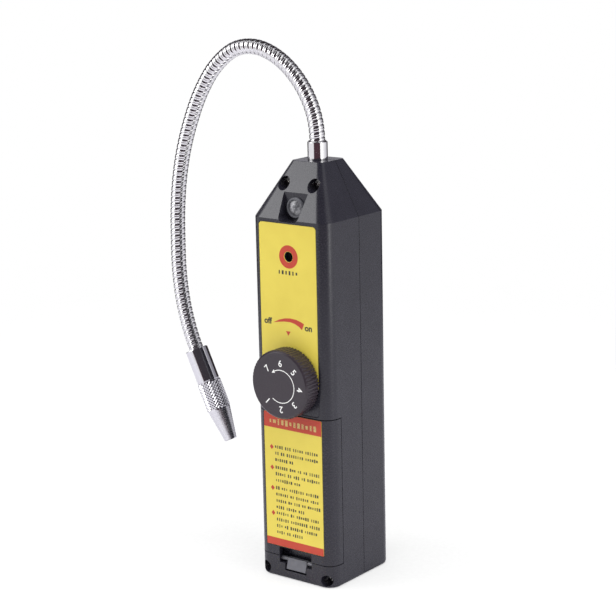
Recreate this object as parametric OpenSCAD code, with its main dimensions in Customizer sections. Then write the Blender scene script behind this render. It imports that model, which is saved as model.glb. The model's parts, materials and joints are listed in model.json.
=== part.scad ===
// Hand-held refrigerant leak detector: a tapered clamshell housing with a battery door, a sensitivity
// dial, and a sensing tip carried on a flexible metal neck.
// Millimetres, +Z up, origin at the middle of the base, front face towards -Y.

/* [Housing] */
// Width of the housing, side to side
body_w = 38.75; // [38:0.25:46]
// Depth of the housing, front to back
body_d = 41.5; // [41:0.5:48]
// Height of the straight part, up to the shoulder
shoulder_h = 153; // [150:0.5:165]
// Height of the tapered top
taper_h = 22; // [20:0.5:26]
// Side of the flat square at the very top
top_w = 16; // [15:0.5:18]
// Radius of the upright corners
corner_r = 5.5; // [4:0.25:6]
// Radius of the corners at the flat top
top_r = 2.5; // [1.5:0.25:3.5]
// Rounding of the bottom edge
base_round = 1.5; // [0.5:0.25:2]
// Wall thickness of both shells
wall = 2; // [1.7:0.1:2.3]
// Thickness of the flat top
top_wall = 2.5; // [2:0.1:3]
// How far the shells meet behind the middle
parting_y = 1.2; // [0:0.1:2]
// Depth and half width of the groove where the shells meet
parting_groove = 0.15; // [0.1:0.05:0.4]
// Diameter of the screw recesses near the base
recess_d = 4.8; // [4.6:0.1:5.2]
// Diameter of the screw recesses in the sloped face
top_recess_d = 5.4; // [5:0.1:5.6]
// Wall of the screw bosses round their recesses
boss_wall = 1; // [0.8:0.1:1.2]
// Diameter of the screw shanks
screw_d = 2.6; // [2.2:0.1:2.8]
// Depth of the screw recess in the sloped face
top_seat = 6.25; // [5:0.25:7.5]
// Depth of the screw recess near the base
base_seat = 6.75; // [4:0.25:9]

/* [Battery door] */
// Height of the lower edge of the door
door_z0 = 9.9; // [9.7:0.1:12]
// How far the door reaches back round the front corners
door_wrap = 7.5; // [6.5:0.25:8]
// Gap around the door
seam = 0.3; // [0.2:0.05:0.4]
// Height of the door above the shelf over the cells
door_lap = 2.7; // [2.6:0.1:4]
// Width of the finger slot at the foot of the door
slot_w = 16.8; // [15:0.2:18]
// Height of the slot above the edge of the door
slot_h = 3.7; // [3:0.1:4]
// Width of the latch
latch_w = 10; // [8:0.2:11]
// Diameter of the latch pivots
pivot_d = 1.8; // [1.4:0.1:2]

/* [Cells and contacts] */
// Diameter of a cell
cell_d = 14.5; // [13.5:0.1:14.6]
// Length of a cell, with its button
cell_l = 50.5; // [48:0.5:54]
// Gap between cells
cell_gap = 0.3; // [0.2:0.05:0.5]
// How far the cells sit behind the middle of the housing
cell_back = 0.5; // [0.3:0.1:0.8]
// Length of a contact spring, with the cell in place
spring_l = 6.2; // [5:0.2:8]
// Wire of a contact spring
spring_wire = 0.8; // [0.6:0.1:1]
// Thickness of the contact plates
plate_t = 0.4; // [0.3:0.1:0.6]

/* [Labels] */
// Width of the door label
label_w = 29.8; // [24:0.2:30]
// Width of the upper label
upper_label_w = 28.8; // [24:0.2:29]
// How far the upper label sits left of the middle
label_shift = 0.5; // [0:0.1:0.6]
// Radius of the corners of the upper label
label_r = 1.5; // [0.5:0.25:2.5]
// Radius of the corners of the door label
door_label_r = 0.5; // [0.25:0.25:1.5]
// Thickness of the labels
label_t = 0.3; // [0.2:0.05:0.35]

/* [Dial] */
// Radius of the dial
knob_r = 14.4; // [13:0.1:15]
// Height of the dial
knob_h = 7.75; // [6:0.25:9]
// Number of flutes round the dial
flutes = 60; // [40:1:72]
// Diameter of the dial's shaft
shaft_d = 6; // [5:0.1:6]

/* [Circuit] */
// Width of the circuit board
board_w = 30.5; // [29:0.5:31]
// Thickness of the circuit board
board_t = 1.6; // [1:0.1:2]
// Distance from the front wall to the board
standoff = 10; // [9.5:0.25:11]
// Diameter of the sounder
buzzer_d = 12; // [10:0.5:13]
// Diameter of the sound hole
sound_hole = 4.3; // [3.5:0.1:5]
// Diameter of the indicator lens
led_d = 6.2; // [5.6:0.1:6.6]

/* [Neck and probe] */
// Outside diameter of the flexible neck
neck_d = 6.2; // [5.6:0.1:6.6]
// Bore of the flexible neck
neck_bore = 3.4; // [2.8:0.1:4]
// Height of one winding of the neck
neck_pitch = 2.4; // [2:0.1:3]
// Height of the ferrule on the flat top
ferrule_h = 7.6; // [6:0.2:10]
// Diameter of the ferrule
ferrule_d = 8.2; // [8:0.1:9]
// Tilt of the probe from the vertical
probe_tilt = 25.5; // [20:0.5:30]
// Diameter of the probe sleeve
sleeve_d = 9; // [8.8:0.1:10]
// Length of the probe sleeve
sleeve_l = 15; // [12:0.5:18]
// Diameter of the knurled band of the tip cap
cap_d = 11.1; // [10.6:0.1:12]
// Length of the knurled band
cap_l = 13.5; // [12:0.5:16]
// Length of the conical nose
nose_l = 13.9; // [12:0.1:16]
// Diameter of the nose at the knurled band
nose_d = 10; // [9.4:0.1:10.4]
// Diameter of the nose at its end
nose_end_d = 5.6; // [5:0.1:6.4]
// Diameter of the opening in the nose
nose_bore = 3.4; // [2.6:0.1:3.8]
// Diameter of the sensor lead
lead_d = 2; // [1.4:0.1:2.2]

/* [Hidden] */
$fn = 48;

// Housing: planes and heights that the other pieces take
body_h = shoulder_h + taper_h;
front_y = -body_d / 2;
inner_y = front_y + wall;
side_x = body_w / 2;
ceiling_z = body_h - top_wall;
corner_steps = 9;
min_r = 0.6;
far = 300;
fit = 0.1;
bite = 1;

// Battery compartment: cells stand between two shelves, and the door closes them in
shelf_t = 2;
cell_pitch = cell_d + cell_gap;
plus_l = 1.3;
plus_d = 5.5;
shelf_z0 = door_z0;
shelf_z1 = shelf_z0 + 2 * plate_t + spring_l + cell_l;
shelf_setback = 1.95;
shelf_front = inner_y + shelf_setback;
rib_t = 1.5;
rib_gap = 0.3;
door_z1 = shelf_z1 + shelf_t + door_lap;
door_back = front_y + door_wrap;
tab_x = 8;
tab_w = 6;
tab_t = 1.2;
tab_h = 2.9;
tab_root = 2.1;
door_rib_rise = 1.4;

// Latch: a rocker in a pocket behind the finger slot
pocket_depth = 2.6;
pocket_wall = 1.5;
pocket_lip = 0.4;
pocket_back = inner_y + pocket_depth;
cheek_t = 2;
slot_x = slot_w / 2;
slot_z1 = door_z0 + slot_h;
sill_z = 6.8;
notch_floor = 3.6;
latch_gap = 0.6;
latch_lip = 0.7;
latch_sunk = 0.15;
pivot_fit = 0.05;
pivot_sunk = 0.35;
pivot_drop = 1.8;
pivot_y = inner_y + pivot_sunk;
pivot_z = door_z0 - pivot_drop;

// Labels lie in shallow recesses
label_sunk = 0.1;
label_fit = 0.15;
label_drop = 1.6;
label_rise = 0.8;
door_label_margin = 0.3;
label_recess = label_t + label_sunk;
label_top = shoulder_h - label_drop;
label_foot = door_z1 + seam + label_rise;
door_label_top = door_z1 - door_label_margin;
door_label_foot = slot_z1 + door_label_margin;

// Dial and its potentiometer
knob_rise = 0.1;
knob_gap = 0.3;
knob_z = door_z1 + knob_r + knob_rise;
knob_back = front_y - knob_gap;
knob_face = knob_back - knob_h;
knob_bevel = 0.9;
flute_r = 0.5;
flute_depth = 0.35;
shaft_flat = 0.8;
knob_floor = 1;
bush_wall = 0.5;
bush_d = shaft_d + 2 * bush_wall;
bush_l = 2.45;
pot_d = 16.5;
washer_d = 13;
washer_t = 0.5;
nut_af = 10;
nut_t = 2;
nut_room = 14;
hub_gap = 1.15;
hub_floor = front_y + label_recess - washer_t - nut_t - hub_gap;
running = 0.05;
pot_bore_l = 4.8;
pot_bore_end = inner_y + pot_bore_l;

// Circuit board behind the front wall
board_y = inner_y + standoff;
board_rise = 5.6;
board_drop = 3;
board_z0 = shelf_z1 + shelf_t + board_rise;
board_z1 = shoulder_h - board_drop;
board_mid = (board_z0 + board_z1) / 2;
tongue_w = 12;
tongue_rise = 3;
post_d = 5;
post_margin = 2.7;
post_x = board_w / 2 - post_margin;
post_inset = 3.5;
post_screw = 2;
post_screw_l = 6;
post_head = 4;
post_head_t = 1.4;
buzzer_drop = 13.3;
buzzer_z = label_top - buzzer_drop;
buzzer_gap = 0.95;
buzzer_well = 1.5;

// Indicator in a notch cut into the sloped face
notch_drop = 1;
notch_rise = 10.3;
notch_r = 2.5;
led_rise = 4.2;
notch_z0 = shoulder_h - notch_drop;
notch_z1 = shoulder_h + notch_rise;
notch_top_w = 11.8;
notch_foot_w = 10;
notch_y = -half_at(body_d, notch_z1);
led_z = shoulder_h + led_rise;
bezel_brim = 1.1;
barrel_wall = 0.7;
bezel_d = led_d + 2 * bezel_brim;
bezel_barrel = led_d + 2 * barrel_wall;
bezel_t = 1.2;
bezel_rim = 0.3;
bezel_well = 0.8;
lens_rise = 0.4;
dome_h = 0.9;
led_rim = 0.8;
leg_d = 0.6;
leg_x = 1.27;
leg_proud = 0.8;

// Screws that hold the shells together, two through the slope and two near the base
head_fit = 0.2;
head_t = 1.8;
screw_grip = 7;
top_screw_x = 7.45;
top_screw_drop = 8.6;
top_screw_z = body_h - top_screw_drop;
base_screw_inset = 3.7;
base_screw_x = side_x - base_screw_inset;
base_screw_z = 3.3;
SCREWS = [
    [top_screw_x, top_screw_z, top_seat - half_at(body_d, top_screw_z), top_recess_d],
    [-top_screw_x, top_screw_z, top_seat - half_at(body_d, top_screw_z), top_recess_d],
    [base_screw_x, base_screw_z, base_seat + front_y, recess_d],
    [-base_screw_x, base_screw_z, base_seat + front_y, recess_d]];

// Neck: the route of its middle line in the XZ plane, measured from the floor of the ferrule's socket
neck_socket = 4.6;
sleeve_socket = 5;
socket_fit = 0.3;
stem_step = 1.1;
stem_d = ferrule_d - 2 * stem_step;
neck_nut_af = 8;
neck_nut_t = 2.5;
neck_foot = body_h + ferrule_h - neck_socket;
ROUTE = [[0, 0], [-1.5, 13.5], [-7, 25.5], [-17, 35], [-29, 40.5], [-42, 40.5], [-53, 32.5],
    [-62, 22], [-67.5, 9.5], [-72, -3.5], [-75.5, -16.5], [-77, -30], [-77.5, -43.5],
    [-77.5, -57.5], [-75.5, -71], [-72, -84], [-67, -96.5]];
route_step = 13.5;
probe_dir = [sin(probe_tilt), -cos(probe_tilt)];
winding_depth = 0.4;
rings_per_turn = 3;
neck_sides = 10;
bore_rings = 4;
lead_sides = 8;
lead_rings = 3;

// Probe: sleeve, sensor and tip cap along one axis
sleeve_top = ROUTE[len(ROUTE) - 1] + [0, neck_foot] - sleeve_socket * probe_dir;
spigot_d = 7;
spigot_l = 7;
cap_fit = 0.1;
cap_relief = 0.5;
lead_fit = 0.3;
insulator_d = 5.2;
insulator_sunk = 2;
insulator_l = 6;
electrode_d = 1.4;
electrode_l = 7;
spigot_end = sleeve_l + spigot_l;
sensor_foot = spigot_end - insulator_sunk;
nose_start = sleeve_l + cap_l;
nose_end = nose_start + nose_l;
nose_floor = 6.4;
chamber_end = nose_end - nose_floor;

// Outline of the housing
function lean(size) = (size - top_w) / 2 / taper_h;
function half_at(size, z) = size / 2 - max(0, z - shoulder_h) * lean(size);
function slope_inset(size, t) = t * sqrt(1 + pow(lean(size), 2));

// One rounded rectangle of half sizes hx and hy at height z
function rounded_ring(hx, hy, r, z) = [
    for (q = [0:3], s = [0:corner_steps])
    let (a = 90 * (q + s / corner_steps), sx = q % 3 == 0 ? 1 : -1, sy = q < 2 ? 1 : -1)
    [sx * (hx - r) + r * cos(a), sy * (hy - r) + r * sin(a), z]];

// The outer form: a rounded foot, straight walls and a taper to the flat top
function outer_rings() = concat(
    [for (a = [0:30:90]) let (t = base_round * (1 - sin(a)))
        rounded_ring(body_w / 2 - t, body_d / 2 - t, corner_r - t, base_round * (1 - cos(a)))],
    [rounded_ring(body_w / 2, body_d / 2, corner_r, shoulder_h),
        rounded_ring(top_w / 2, top_w / 2, top_r, body_h)]);

// The same form, smaller by t all round, between two heights
function inset_rings(t, z0, z1) =
    let (zs = shoulder_h - (slope_inset(body_w, t) - t) / lean(body_w), r = max(corner_r - t, min_r),
        tx = half_at(body_w, z1) - slope_inset(body_w, t),
        ty = half_at(body_d, z1) - slope_inset(body_d, t))
    [rounded_ring(body_w / 2 - t, body_d / 2 - t, r, z0),
        rounded_ring(body_w / 2 - t, body_d / 2 - t, r, zs),
        rounded_ring(tx, ty, max(top_r - t, min_r), z1)];

// Triangles between neighbouring rings of a skin
function side_faces(rings, sides, first, inward = false) = [
    for (i = [0:rings - 2], j = [0:sides - 1])
    let (a = first + i * sides + j, b = first + i * sides + (j + 1) % sides)
    each inward ? [[a, b, b + sides], [a, b + sides, a + sides]]
                : [[a, b + sides, b], [a, a + sides, b + sides]]];

function flatten(lists) = [for (l = lists) each l];

module loft(rings) {
    sides = len(rings[0]);
    last = (len(rings) - 1) * sides;
    polyhedron(flatten(rings), concat(
        [[for (j = [0:sides - 1]) j]],
        side_faces(len(rings), sides, 0),
        [[for (j = [sides - 1:-1:0]) last + j]]));
}

module outer_form() { loft(outer_rings()); }

module hollow_form() { loft(inset_rings(wall, wall, ceiling_z)); }

// The half space in front of the parting plane, or behind it
module front_half() { translate([-far, parting_y - far, -far]) cube([2 * far, far, 2 * far]); }

module rear_half() { translate([-far, parting_y, -far]) cube([2 * far, far, 2 * far]); }

module shell_walls() {
    difference() {
        outer_form();
        hollow_form();
        difference() {
            translate([0, parting_y, 0]) cube([2 * far, 2 * parting_groove, 2 * far], center = true);
            loft(inset_rings(parting_groove, parting_groove, body_h - parting_groove));
        }
    }
}

// A cylinder along +Y from y0 to y1
module along_y(x, z, y0, y1, d) {
    translate([x, y0, z]) rotate([-90, 0, 0]) cylinder(d = d, h = y1 - y0);
}

// A box between two corners
module block(x0, x1, y0, y1, z0, z1) {
    translate([x0, y0, z0]) cube([x1 - x0, y1 - y0, z1 - z0]);
}

module mirrored_x() {
    children();
    mirror([1, 0, 0]) children();
}

// What the door fills in the shell walls, larger by gap
module door_space(gap) {
    block(-far, far, -far, door_back + gap, door_z0 - gap, door_z1 + gap);
}

// A sheet with rounded corners, w wide and centred at x, from y0 to y1 and z0 to z1
module rounded_sheet(x, w, r, y0, y1, z0, z1) {
    translate([x, y1, (z0 + z1) / 2]) rotate([90, 0, 0]) linear_extrude(y1 - y0)
        polygon([for (p = rounded_ring(w / 2, (z1 - z0) / 2, r, 0)) [p[0], p[1]]]);
}

// A label between two depths, larger by gap all round
module upper_sheet(y0, y1, gap) {
    rounded_sheet(-label_shift, upper_label_w + 2 * gap, label_r + gap, y0, y1,
        label_foot - gap, label_top + gap);
}

module door_sheet(y0, y1, gap) {
    rounded_sheet(0, label_w + 2 * gap, door_label_r + gap, y0, y1,
        door_label_foot - gap, door_label_top + gap);
}

// A shelf of the battery compartment, from y0 to y1, held by the side walls
module shelf(z, y0, y1) {
    block(-side_x + wall / 2, side_x - wall / 2, max(y0, door_back + seam), y1, z, z + shelf_t);
    if (y0 < door_back + seam) {
        flat = side_x - corner_r;
        block(-flat, flat, y0, door_back + bite, z, z + shelf_t);
    }
}

// Upright ribs that keep the outer cells off a side wall, at the middle of a row of cells
module side_ribs(y) {
    mirrored_x() block(cell_pitch / 2 + cell_d / 2 + rib_gap, side_x - wall / 2,
        y - rib_t / 2, y + rib_t / 2, shelf_z0 - bite, shelf_z1 + bite);
}

module notch_outline() {
    hull() {
        mirrored_x() translate([notch_foot_w / 2 - notch_r, notch_z0 + notch_r]) circle(notch_r, $fn = 32);
        translate([-notch_top_w / 2, notch_z1 - bite]) square([notch_top_w, bite]);
    }
}

// Bosses, posts, shelves and pockets inside the front shell
module front_fittings() {
    for (s = SCREWS)
        along_y(s[0], s[1], -half_at(body_d, s[1]) + wall / 2, parting_y, s[3] + 2 * boss_wall);
    block(-notch_top_w / 2 - wall, notch_top_w / 2 + wall, front_y + wall / 2, notch_y + wall,
        notch_z0 - wall, notch_z1 + wall);
    mirrored_x() for (z = [board_z0 + post_inset, board_z1 - post_inset])
        along_y(post_x, z, inner_y - wall / 2, board_y, post_d);
    shelf(shelf_z0 - shelf_t, shelf_front, parting_y);
    shelf(shelf_z1, shelf_front, parting_y);
    side_ribs(cell_back - cell_pitch / 2);
    mirrored_x() block(slot_x, slot_x + cheek_t, inner_y - wall / 2, pocket_back + bite,
        wall / 2, door_z0 - seam);
    block(-slot_x - cheek_t, slot_x + cheek_t, pocket_back, pocket_back + pocket_wall,
        wall / 2, slot_z1 + pocket_lip);
}

// Holes and recesses of the front shell
module front_cuts() {
    for (s = SCREWS) {
        along_y(s[0], s[1], -far, s[2], s[3]);
        along_y(s[0], s[1], s[2] - bite, far, screw_d + 2 * fit);
    }
    upper_sheet(front_y - bite, front_y + label_recess, label_fit);
    along_y(0, knob_z, -far, inner_y + bite, bush_d + 2 * fit);
    along_y(0, buzzer_z, -far, inner_y + fit, sound_hole);
    translate([0, notch_y, 0]) rotate([90, 0, 0]) linear_extrude(far) notch_outline();
    along_y(0, led_z, -far, notch_y + wall + bite, bezel_barrel + 2 * fit);
    mirrored_x() for (z = [board_z0 + post_inset, board_z1 - post_inset])
        along_y(post_x, z, board_y - post_screw_l, far, post_screw + 2 * fit);
    block(-slot_x, slot_x, -far, pocket_back, sill_z, slot_z1);
    block(-latch_w / 2 - latch_gap, latch_w / 2 + latch_gap, -far, inner_y + bite,
        notch_floor, sill_z + fit);
    translate([0, pivot_y, pivot_z]) rotate([0, 90, 0])
        cylinder(d = pivot_d + 2 * pivot_fit, h = 2 * (slot_x + cheek_t) + bite, center = true);
    translate([0, 0, ceiling_z - bite]) cylinder(d = stem_d + 2 * fit, h = far);
}

module front_shell() {
    color("#47464c") difference() {
        union() {
            difference() {
                intersection() {
                    shell_walls();
                    front_half();
                }
                door_space(seam);
            }
            intersection() {
                outer_form();
                front_fittings();
            }
        }
        front_cuts();
    }
}

// Shelves, ribs, bosses and the locating lips inside the rear shell
module rear_fittings() {
    for (s = SCREWS)
        along_y(s[0], s[1], parting_y, parting_y + screw_grip + wall, recess_d + 2 * boss_wall);
    shelf(shelf_z0 - shelf_t, parting_y, body_d / 2 - wall / 2);
    shelf(shelf_z1, parting_y, body_d / 2 - wall / 2);
    side_ribs(cell_back + cell_pitch / 2);
    mirrored_x() block(cell_pitch / 2 - rib_t / 2, cell_pitch / 2 + rib_t / 2,
        cell_back + cell_pitch / 2 + cell_d / 2 + rib_gap, body_d / 2 - wall / 2,
        shelf_z0 - bite, shelf_z1 + bite);
}

module locating_lips() {
    lip_x = side_x - wall - label_fit;
    mirrored_x() {
        block(lip_x - rib_t, lip_x, parting_y - wall, parting_y + bite, board_z0, board_z1);
        block(lip_x - rib_t, side_x - wall / 2, parting_y + parting_groove, parting_y + 2 * wall,
            board_z0, board_z1);
    }
}

module rear_shell() {
    color("#47464c") difference() {
        union() {
            intersection() {
                shell_walls();
                rear_half();
            }
            intersection() {
                outer_form();
                rear_fittings();
            }
            locating_lips();
        }
        for (s = SCREWS)
            along_y(s[0], s[1], parting_y - bite, parting_y + screw_grip + fit, screw_d + 2 * fit);
        translate([0, 0, ceiling_z - bite]) cylinder(d = stem_d + 2 * fit, h = far);
    }
}

// The door wraps the front corners, hangs on two tabs and presses the cells with two ribs
module battery_door() {
    color("#434248") difference() {
        union() {
            intersection() {
                outer_form();
                difference() {
                    door_space(0);
                    hollow_form();
                }
            }
            mirrored_x() {
                block(tab_x - tab_w / 2, tab_x + tab_w / 2, inner_y - bite, inner_y + seam + tab_t,
                    door_z1 - tab_root, door_z1);
                block(tab_x - tab_w / 2, tab_x + tab_w / 2, inner_y + seam, inner_y + seam + tab_t,
                    door_z1 - tab_root, door_z1 + tab_h);
                block(cell_pitch / 2 - rib_t / 2, cell_pitch / 2 + rib_t / 2, inner_y - bite,
                    cell_back - cell_pitch / 2 - cell_d / 2 - rib_gap,
                    slot_z1 + door_rib_rise, shelf_z1 - rib_t);
            }
        }
        door_sheet(front_y - bite, front_y + label_recess, label_fit);
        block(-slot_x, slot_x, -far, inner_y + bite, -far, slot_z1);
    }
}

// A sloping thumb tab that rocks on a cross pin
module door_latch() {
    tab_front = front_y + latch_sunk;
    color("#97979d") {
        translate([-latch_w / 2, 0, 0]) rotate([90, 0, 90]) linear_extrude(latch_w)
            polygon([[tab_front, notch_floor + latch_lip], [tab_front, notch_floor + 2 * latch_lip],
                [pivot_y - pivot_d / 2, pivot_z + pivot_d / 2],
                [pivot_y + pivot_d / 2, pivot_z + pivot_d / 2],
                [pivot_y + pivot_d / 2, pivot_z - pivot_d / 2], [inner_y, notch_floor + latch_lip]]);
        translate([0, pivot_y, pivot_z]) rotate([0, 90, 0])
            cylinder(d = pivot_d, h = 2 * (slot_x + cheek_t), center = true);
    }
}

// Pan head screw along +Y, with its seat at y
module shell_screw(x, z, y, head_d) {
    cross_w = 0.8;
    cross_l = 2.6;
    difference() {
        union() {
            along_y(x, z, y - head_t, y, head_d);
            along_y(x, z, y - bite, parting_y + screw_grip, screw_d);
        }
        translate([x, y - head_t, z]) cube([cross_l, 2 * cross_w, cross_w], center = true);
        translate([x, y - head_t, z]) cube([cross_w, 2 * cross_w, cross_l], center = true);
    }
}

module housing_screws() {
    color("#c9cacf") for (s = SCREWS) shell_screw(s[0], s[1], s[2], s[3] - 2 * head_fit);
}

module upper_label() {
    color("#ecdc5a") difference() {
        upper_sheet(front_y + label_sunk, front_y + label_recess, 0);
        along_y(0, buzzer_z, -far, far, sound_hole);
        along_y(0, knob_z, -far, far, washer_d + 1);
    }
}

module door_label() {
    color("#ecdc5a") door_sheet(front_y + label_sunk, front_y + label_recess, 0);
}

// A fluted dial with a bevelled face, hollow at the back over the fixing nut
module knob() {
    color("#4b464a") difference() {
        intersection() {
            translate([0, knob_back, knob_z]) rotate([90, 0, 0]) linear_extrude(knob_h) difference() {
                circle(knob_r);
                for (i = [0:flutes - 1]) rotate(360 * (i + 0.5) / flutes)
                    translate([knob_r + flute_r - flute_depth, 0]) circle(flute_r);
            }
            translate([0, knob_back, knob_z]) rotate([90, 0, 0]) rotate_extrude()
                polygon([[0, 0], [knob_r + bite, 0], [knob_r + bite, knob_h - knob_bevel - bite],
                    [knob_r - knob_bevel, knob_h], [0, knob_h]]);
        }
        along_y(0, knob_z, hub_floor, far, nut_room);
        difference() {
            along_y(0, knob_z, knob_face + knob_floor, far, shaft_d + 2 * running);
            block(-shaft_d, shaft_d, -far, hub_floor, knob_z + shaft_d / 2 - shaft_flat + running,
                knob_z + shaft_d);
        }
    }
}

module pot_shaft() {
    color("#b9bac0") difference() {
        along_y(0, knob_z, knob_face + knob_floor + fit, pot_bore_end - fit, shaft_d);
        block(-shaft_d, shaft_d, -far, hub_floor + fit, knob_z + shaft_d / 2 - shaft_flat,
            knob_z + shaft_d);
    }
}

// Potentiometer can with its threaded bush through the front wall
module pot_body() {
    color("#8d8f94") difference() {
        union() {
            along_y(0, knob_z, inner_y, board_y, pot_d);
            along_y(0, knob_z, front_y - bush_l, inner_y + bite, bush_d);
        }
        along_y(0, knob_z, -far, pot_bore_end, shaft_d + 2 * running);
    }
}

module pot_washer() {
    color("#c9cacf") difference() {
        along_y(0, knob_z, front_y + label_recess - washer_t, front_y + label_recess, washer_d);
        along_y(0, knob_z, -far, far, bush_d + 2 * fit);
    }
}

module pot_nut() {
    y1 = front_y + label_recess - washer_t;
    color("#c9cacf") difference() {
        translate([0, y1 - nut_t, knob_z]) rotate([-90, 0, 0])
            cylinder(d = nut_af / cos(30), h = nut_t, $fn = 6);
        along_y(0, knob_z, -far, far, bush_d + 2 * fit);
    }
}

// Board with a tongue that reaches up behind the indicator
module circuit_board() {
    color("#2f6b3d") difference() {
        union() {
            block(-board_w / 2, board_w / 2, board_y, board_y + board_t, board_z0, board_z1);
            block(-tongue_w / 2, tongue_w / 2, board_y, board_y + board_t, board_z1 - bite,
                led_z + tongue_rise);
        }
        mirrored_x() for (z = [board_z0 + post_inset, board_z1 - post_inset])
            along_y(post_x, z, -far, far, post_screw + 2 * fit);
        for (x = [-leg_x, leg_x]) along_y(x, led_z, -far, far, leg_d + fit);
    }
}

module board_screws() {
    color("#c9cacf") mirrored_x() for (z = [board_z0 + post_inset, board_z1 - post_inset]) {
        along_y(post_x, z, board_y + board_t, board_y + board_t + post_head_t, post_head);
        along_y(post_x, z, board_y - post_screw_l + fit, board_y + board_t + fit, post_screw);
    }
}

// Sounder on the front of the board, facing the sound hole
module buzzer() {
    color("#26262a") difference() {
        along_y(0, buzzer_z, inner_y + buzzer_gap, board_y, buzzer_d);
        along_y(0, buzzer_z, -far, inner_y + buzzer_gap + buzzer_well, sound_hole / 2);
    }
}

// Domed lens, rim and two legs to the board
module led() {
    rim_y = notch_y + wall + fit;
    dome_y = notch_y - lens_rise;
    dome_r = (led_d * led_d / 4 + dome_h * dome_h) / 2 / dome_h;
    color("#bdbec2") union() {
        along_y(0, led_z, dome_y, rim_y + led_rim, led_d);
        along_y(0, led_z, rim_y, rim_y + led_rim, bezel_barrel);
        translate([0, dome_y, led_z]) rotate([-90, 0, 0]) rotate_extrude() intersection() {
            translate([0, dome_r - dome_h]) circle(dome_r);
            translate([0, -dome_h]) square([led_d / 2, dome_h + fit]);
        }
        for (x = [-leg_x, leg_x])
            along_y(x, led_z, rim_y + led_rim - fit, board_y + board_t + leg_proud, leg_d);
    }
}

// A flanged ring that the lens looks out of, with a well that slopes down to the lens
module led_bezel() {
    inner = led_d / 2 + running;
    brim = bezel_d / 2;
    color("#1f1f22") translate([0, notch_y, led_z]) rotate([90, 0, 0]) rotate_extrude()
        polygon([[inner, -wall], [bezel_barrel / 2, -wall], [bezel_barrel / 2, 0], [brim, 0],
            [brim, bezel_t - bezel_rim], [brim - bezel_rim, bezel_t], [brim - 2 * bezel_rim, bezel_t],
            [inner, bezel_t - bezel_well]]);
}

// Step-up transformer for the sensor voltage, behind the board
core_w = 18;
core_h = 16;
core_d = 9;
core_limb = 4;
core_rise = 4;
core_z = board_mid + core_rise;
coil_w = 9.6;
coil_d = 12;

module transformer_core() {
    y0 = board_y + board_t + (coil_d - core_d) / 2;
    color("#55565c") translate([0, y0, core_z]) difference() {
        block(-core_w / 2, core_w / 2, 0, core_d, -core_h / 2, core_h / 2);
        mirrored_x() block(core_limb / 2, core_w / 2 - core_limb / 2, -bite, core_d + bite,
            core_limb / 2 - core_h / 2, core_h / 2 - core_limb / 2);
    }
}

module transformer_coil() {
    y0 = board_y + board_t;
    z0 = core_h / 2 - core_limb / 2 - fit;
    color("#b0713a") translate([0, y0, core_z]) difference() {
        block(-coil_w / 2, coil_w / 2, 0, coil_d, -z0, z0);
        block(-core_limb / 2 - fit, core_limb / 2 + fit, (coil_d - core_d) / 2 - fit,
            (coil_d + core_d) / 2 + fit, -far, far);
    }
}

module capacitors() {
    can_d = 8;
    can_l = 12;
    color("#2d3a66") mirrored_x()
        along_y(can_d, buzzer_z, board_y + board_t, board_y + board_t + can_l, can_d);
}

// Eight-legged chip on the front of the board
module control_chip() {
    chip_w = 9.6;
    chip_h = 6.4;
    chip_t = 3.3;
    chip_rise = 0.4;
    pin_pitch = 2.4;
    pin_w = 0.8;
    color("#232326") {
        block(-chip_w / 2, chip_w / 2, board_y - chip_t, board_y - chip_rise,
            board_mid - chip_h / 2, board_mid + chip_h / 2);
        for (i = [-1.5:1.5], s = [-1, 1])
            translate([i * pin_pitch, board_y - 1, board_mid + s * chip_h / 2])
                cube([pin_w, 2, pin_w], center = true);
    }
}

// Cells stand in two rows, button up and button down in turn
function cell_x(i) = (i % 2 == 0 ? -1 : 1) * cell_pitch / 2;
function cell_y(i) = cell_back + (i < 2 ? -1 : 1) * cell_pitch / 2;
function button_up(i) = i == 0 || i == 3;

// Puts a piece drawn upright at a cell's place, upside down where the cell is
module at_cell(i) {
    translate([cell_x(i), cell_y(i), button_up(i) ? shelf_z0 : shelf_z1])
        mirror([0, 0, button_up(i) ? 0 : 1]) children();
}

module cell(i) {
    edge = 0.6;
    foot = plate_t + spring_l;
    color(i % 2 == 0 ? "#3c6f8f" : "#8f8f96") at_cell(i) translate([0, 0, foot]) rotate_extrude()
        polygon([[0, 0], [cell_d / 2 - edge, 0], [cell_d / 2, edge],
            [cell_d / 2, cell_l - plus_l - edge], [cell_d / 2 - edge, cell_l - plus_l],
            [plus_d / 2, cell_l - plus_l], [plus_d / 2, cell_l], [0, cell_l]]);
}

module cell_1() { cell(0); }

module cell_2() { cell(1); }

module cell_3() { cell(2); }

module cell_4() { cell(3); }

plate_w = 9;
spring_r0 = 4;
spring_r1 = 2.6;
spring_turns = 3;
spring_sides = 6;
spring_steps = 10;
spring_sunk = 0.1;
spring_foot = plate_t + spring_wire / 2 - spring_sunk;

// Middle line of a conical spring, at t from 0 to 1
function coil_at(t) = let (r = spring_r0 + (spring_r1 - spring_r0) * t, a = 360 * spring_turns * t)
    [r * cos(a), r * sin(a), spring_foot + t * (plate_t + spring_l - spring_wire / 2 - spring_foot)];

module conical_spring() {
    n = spring_turns * spring_steps;
    loft([for (i = [0:n]) let (c = coil_at(i / n), a = 360 * spring_turns * i / n)
        [for (j = [0:spring_sides - 1]) let (b = 360 * j / spring_sides)
            c + spring_wire / 2 * [cos(b) * cos(a), cos(b) * sin(a), -sin(b)]]]);
}

module contact_plate() {
    translate([-plate_w / 2, -plate_w / 2, 0]) cube([plate_w, plate_w, plate_t]);
}

module spring_contacts() {
    color("#c2c3c8") for (i = [0:3]) at_cell(i) {
        contact_plate();
        conical_spring();
    }
}

module flat_contacts() {
    color("#c2c3c8") for (i = [0:3]) at_cell(i)
        translate([0, 0, plate_t + spring_l + cell_l]) contact_plate();
}

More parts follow.
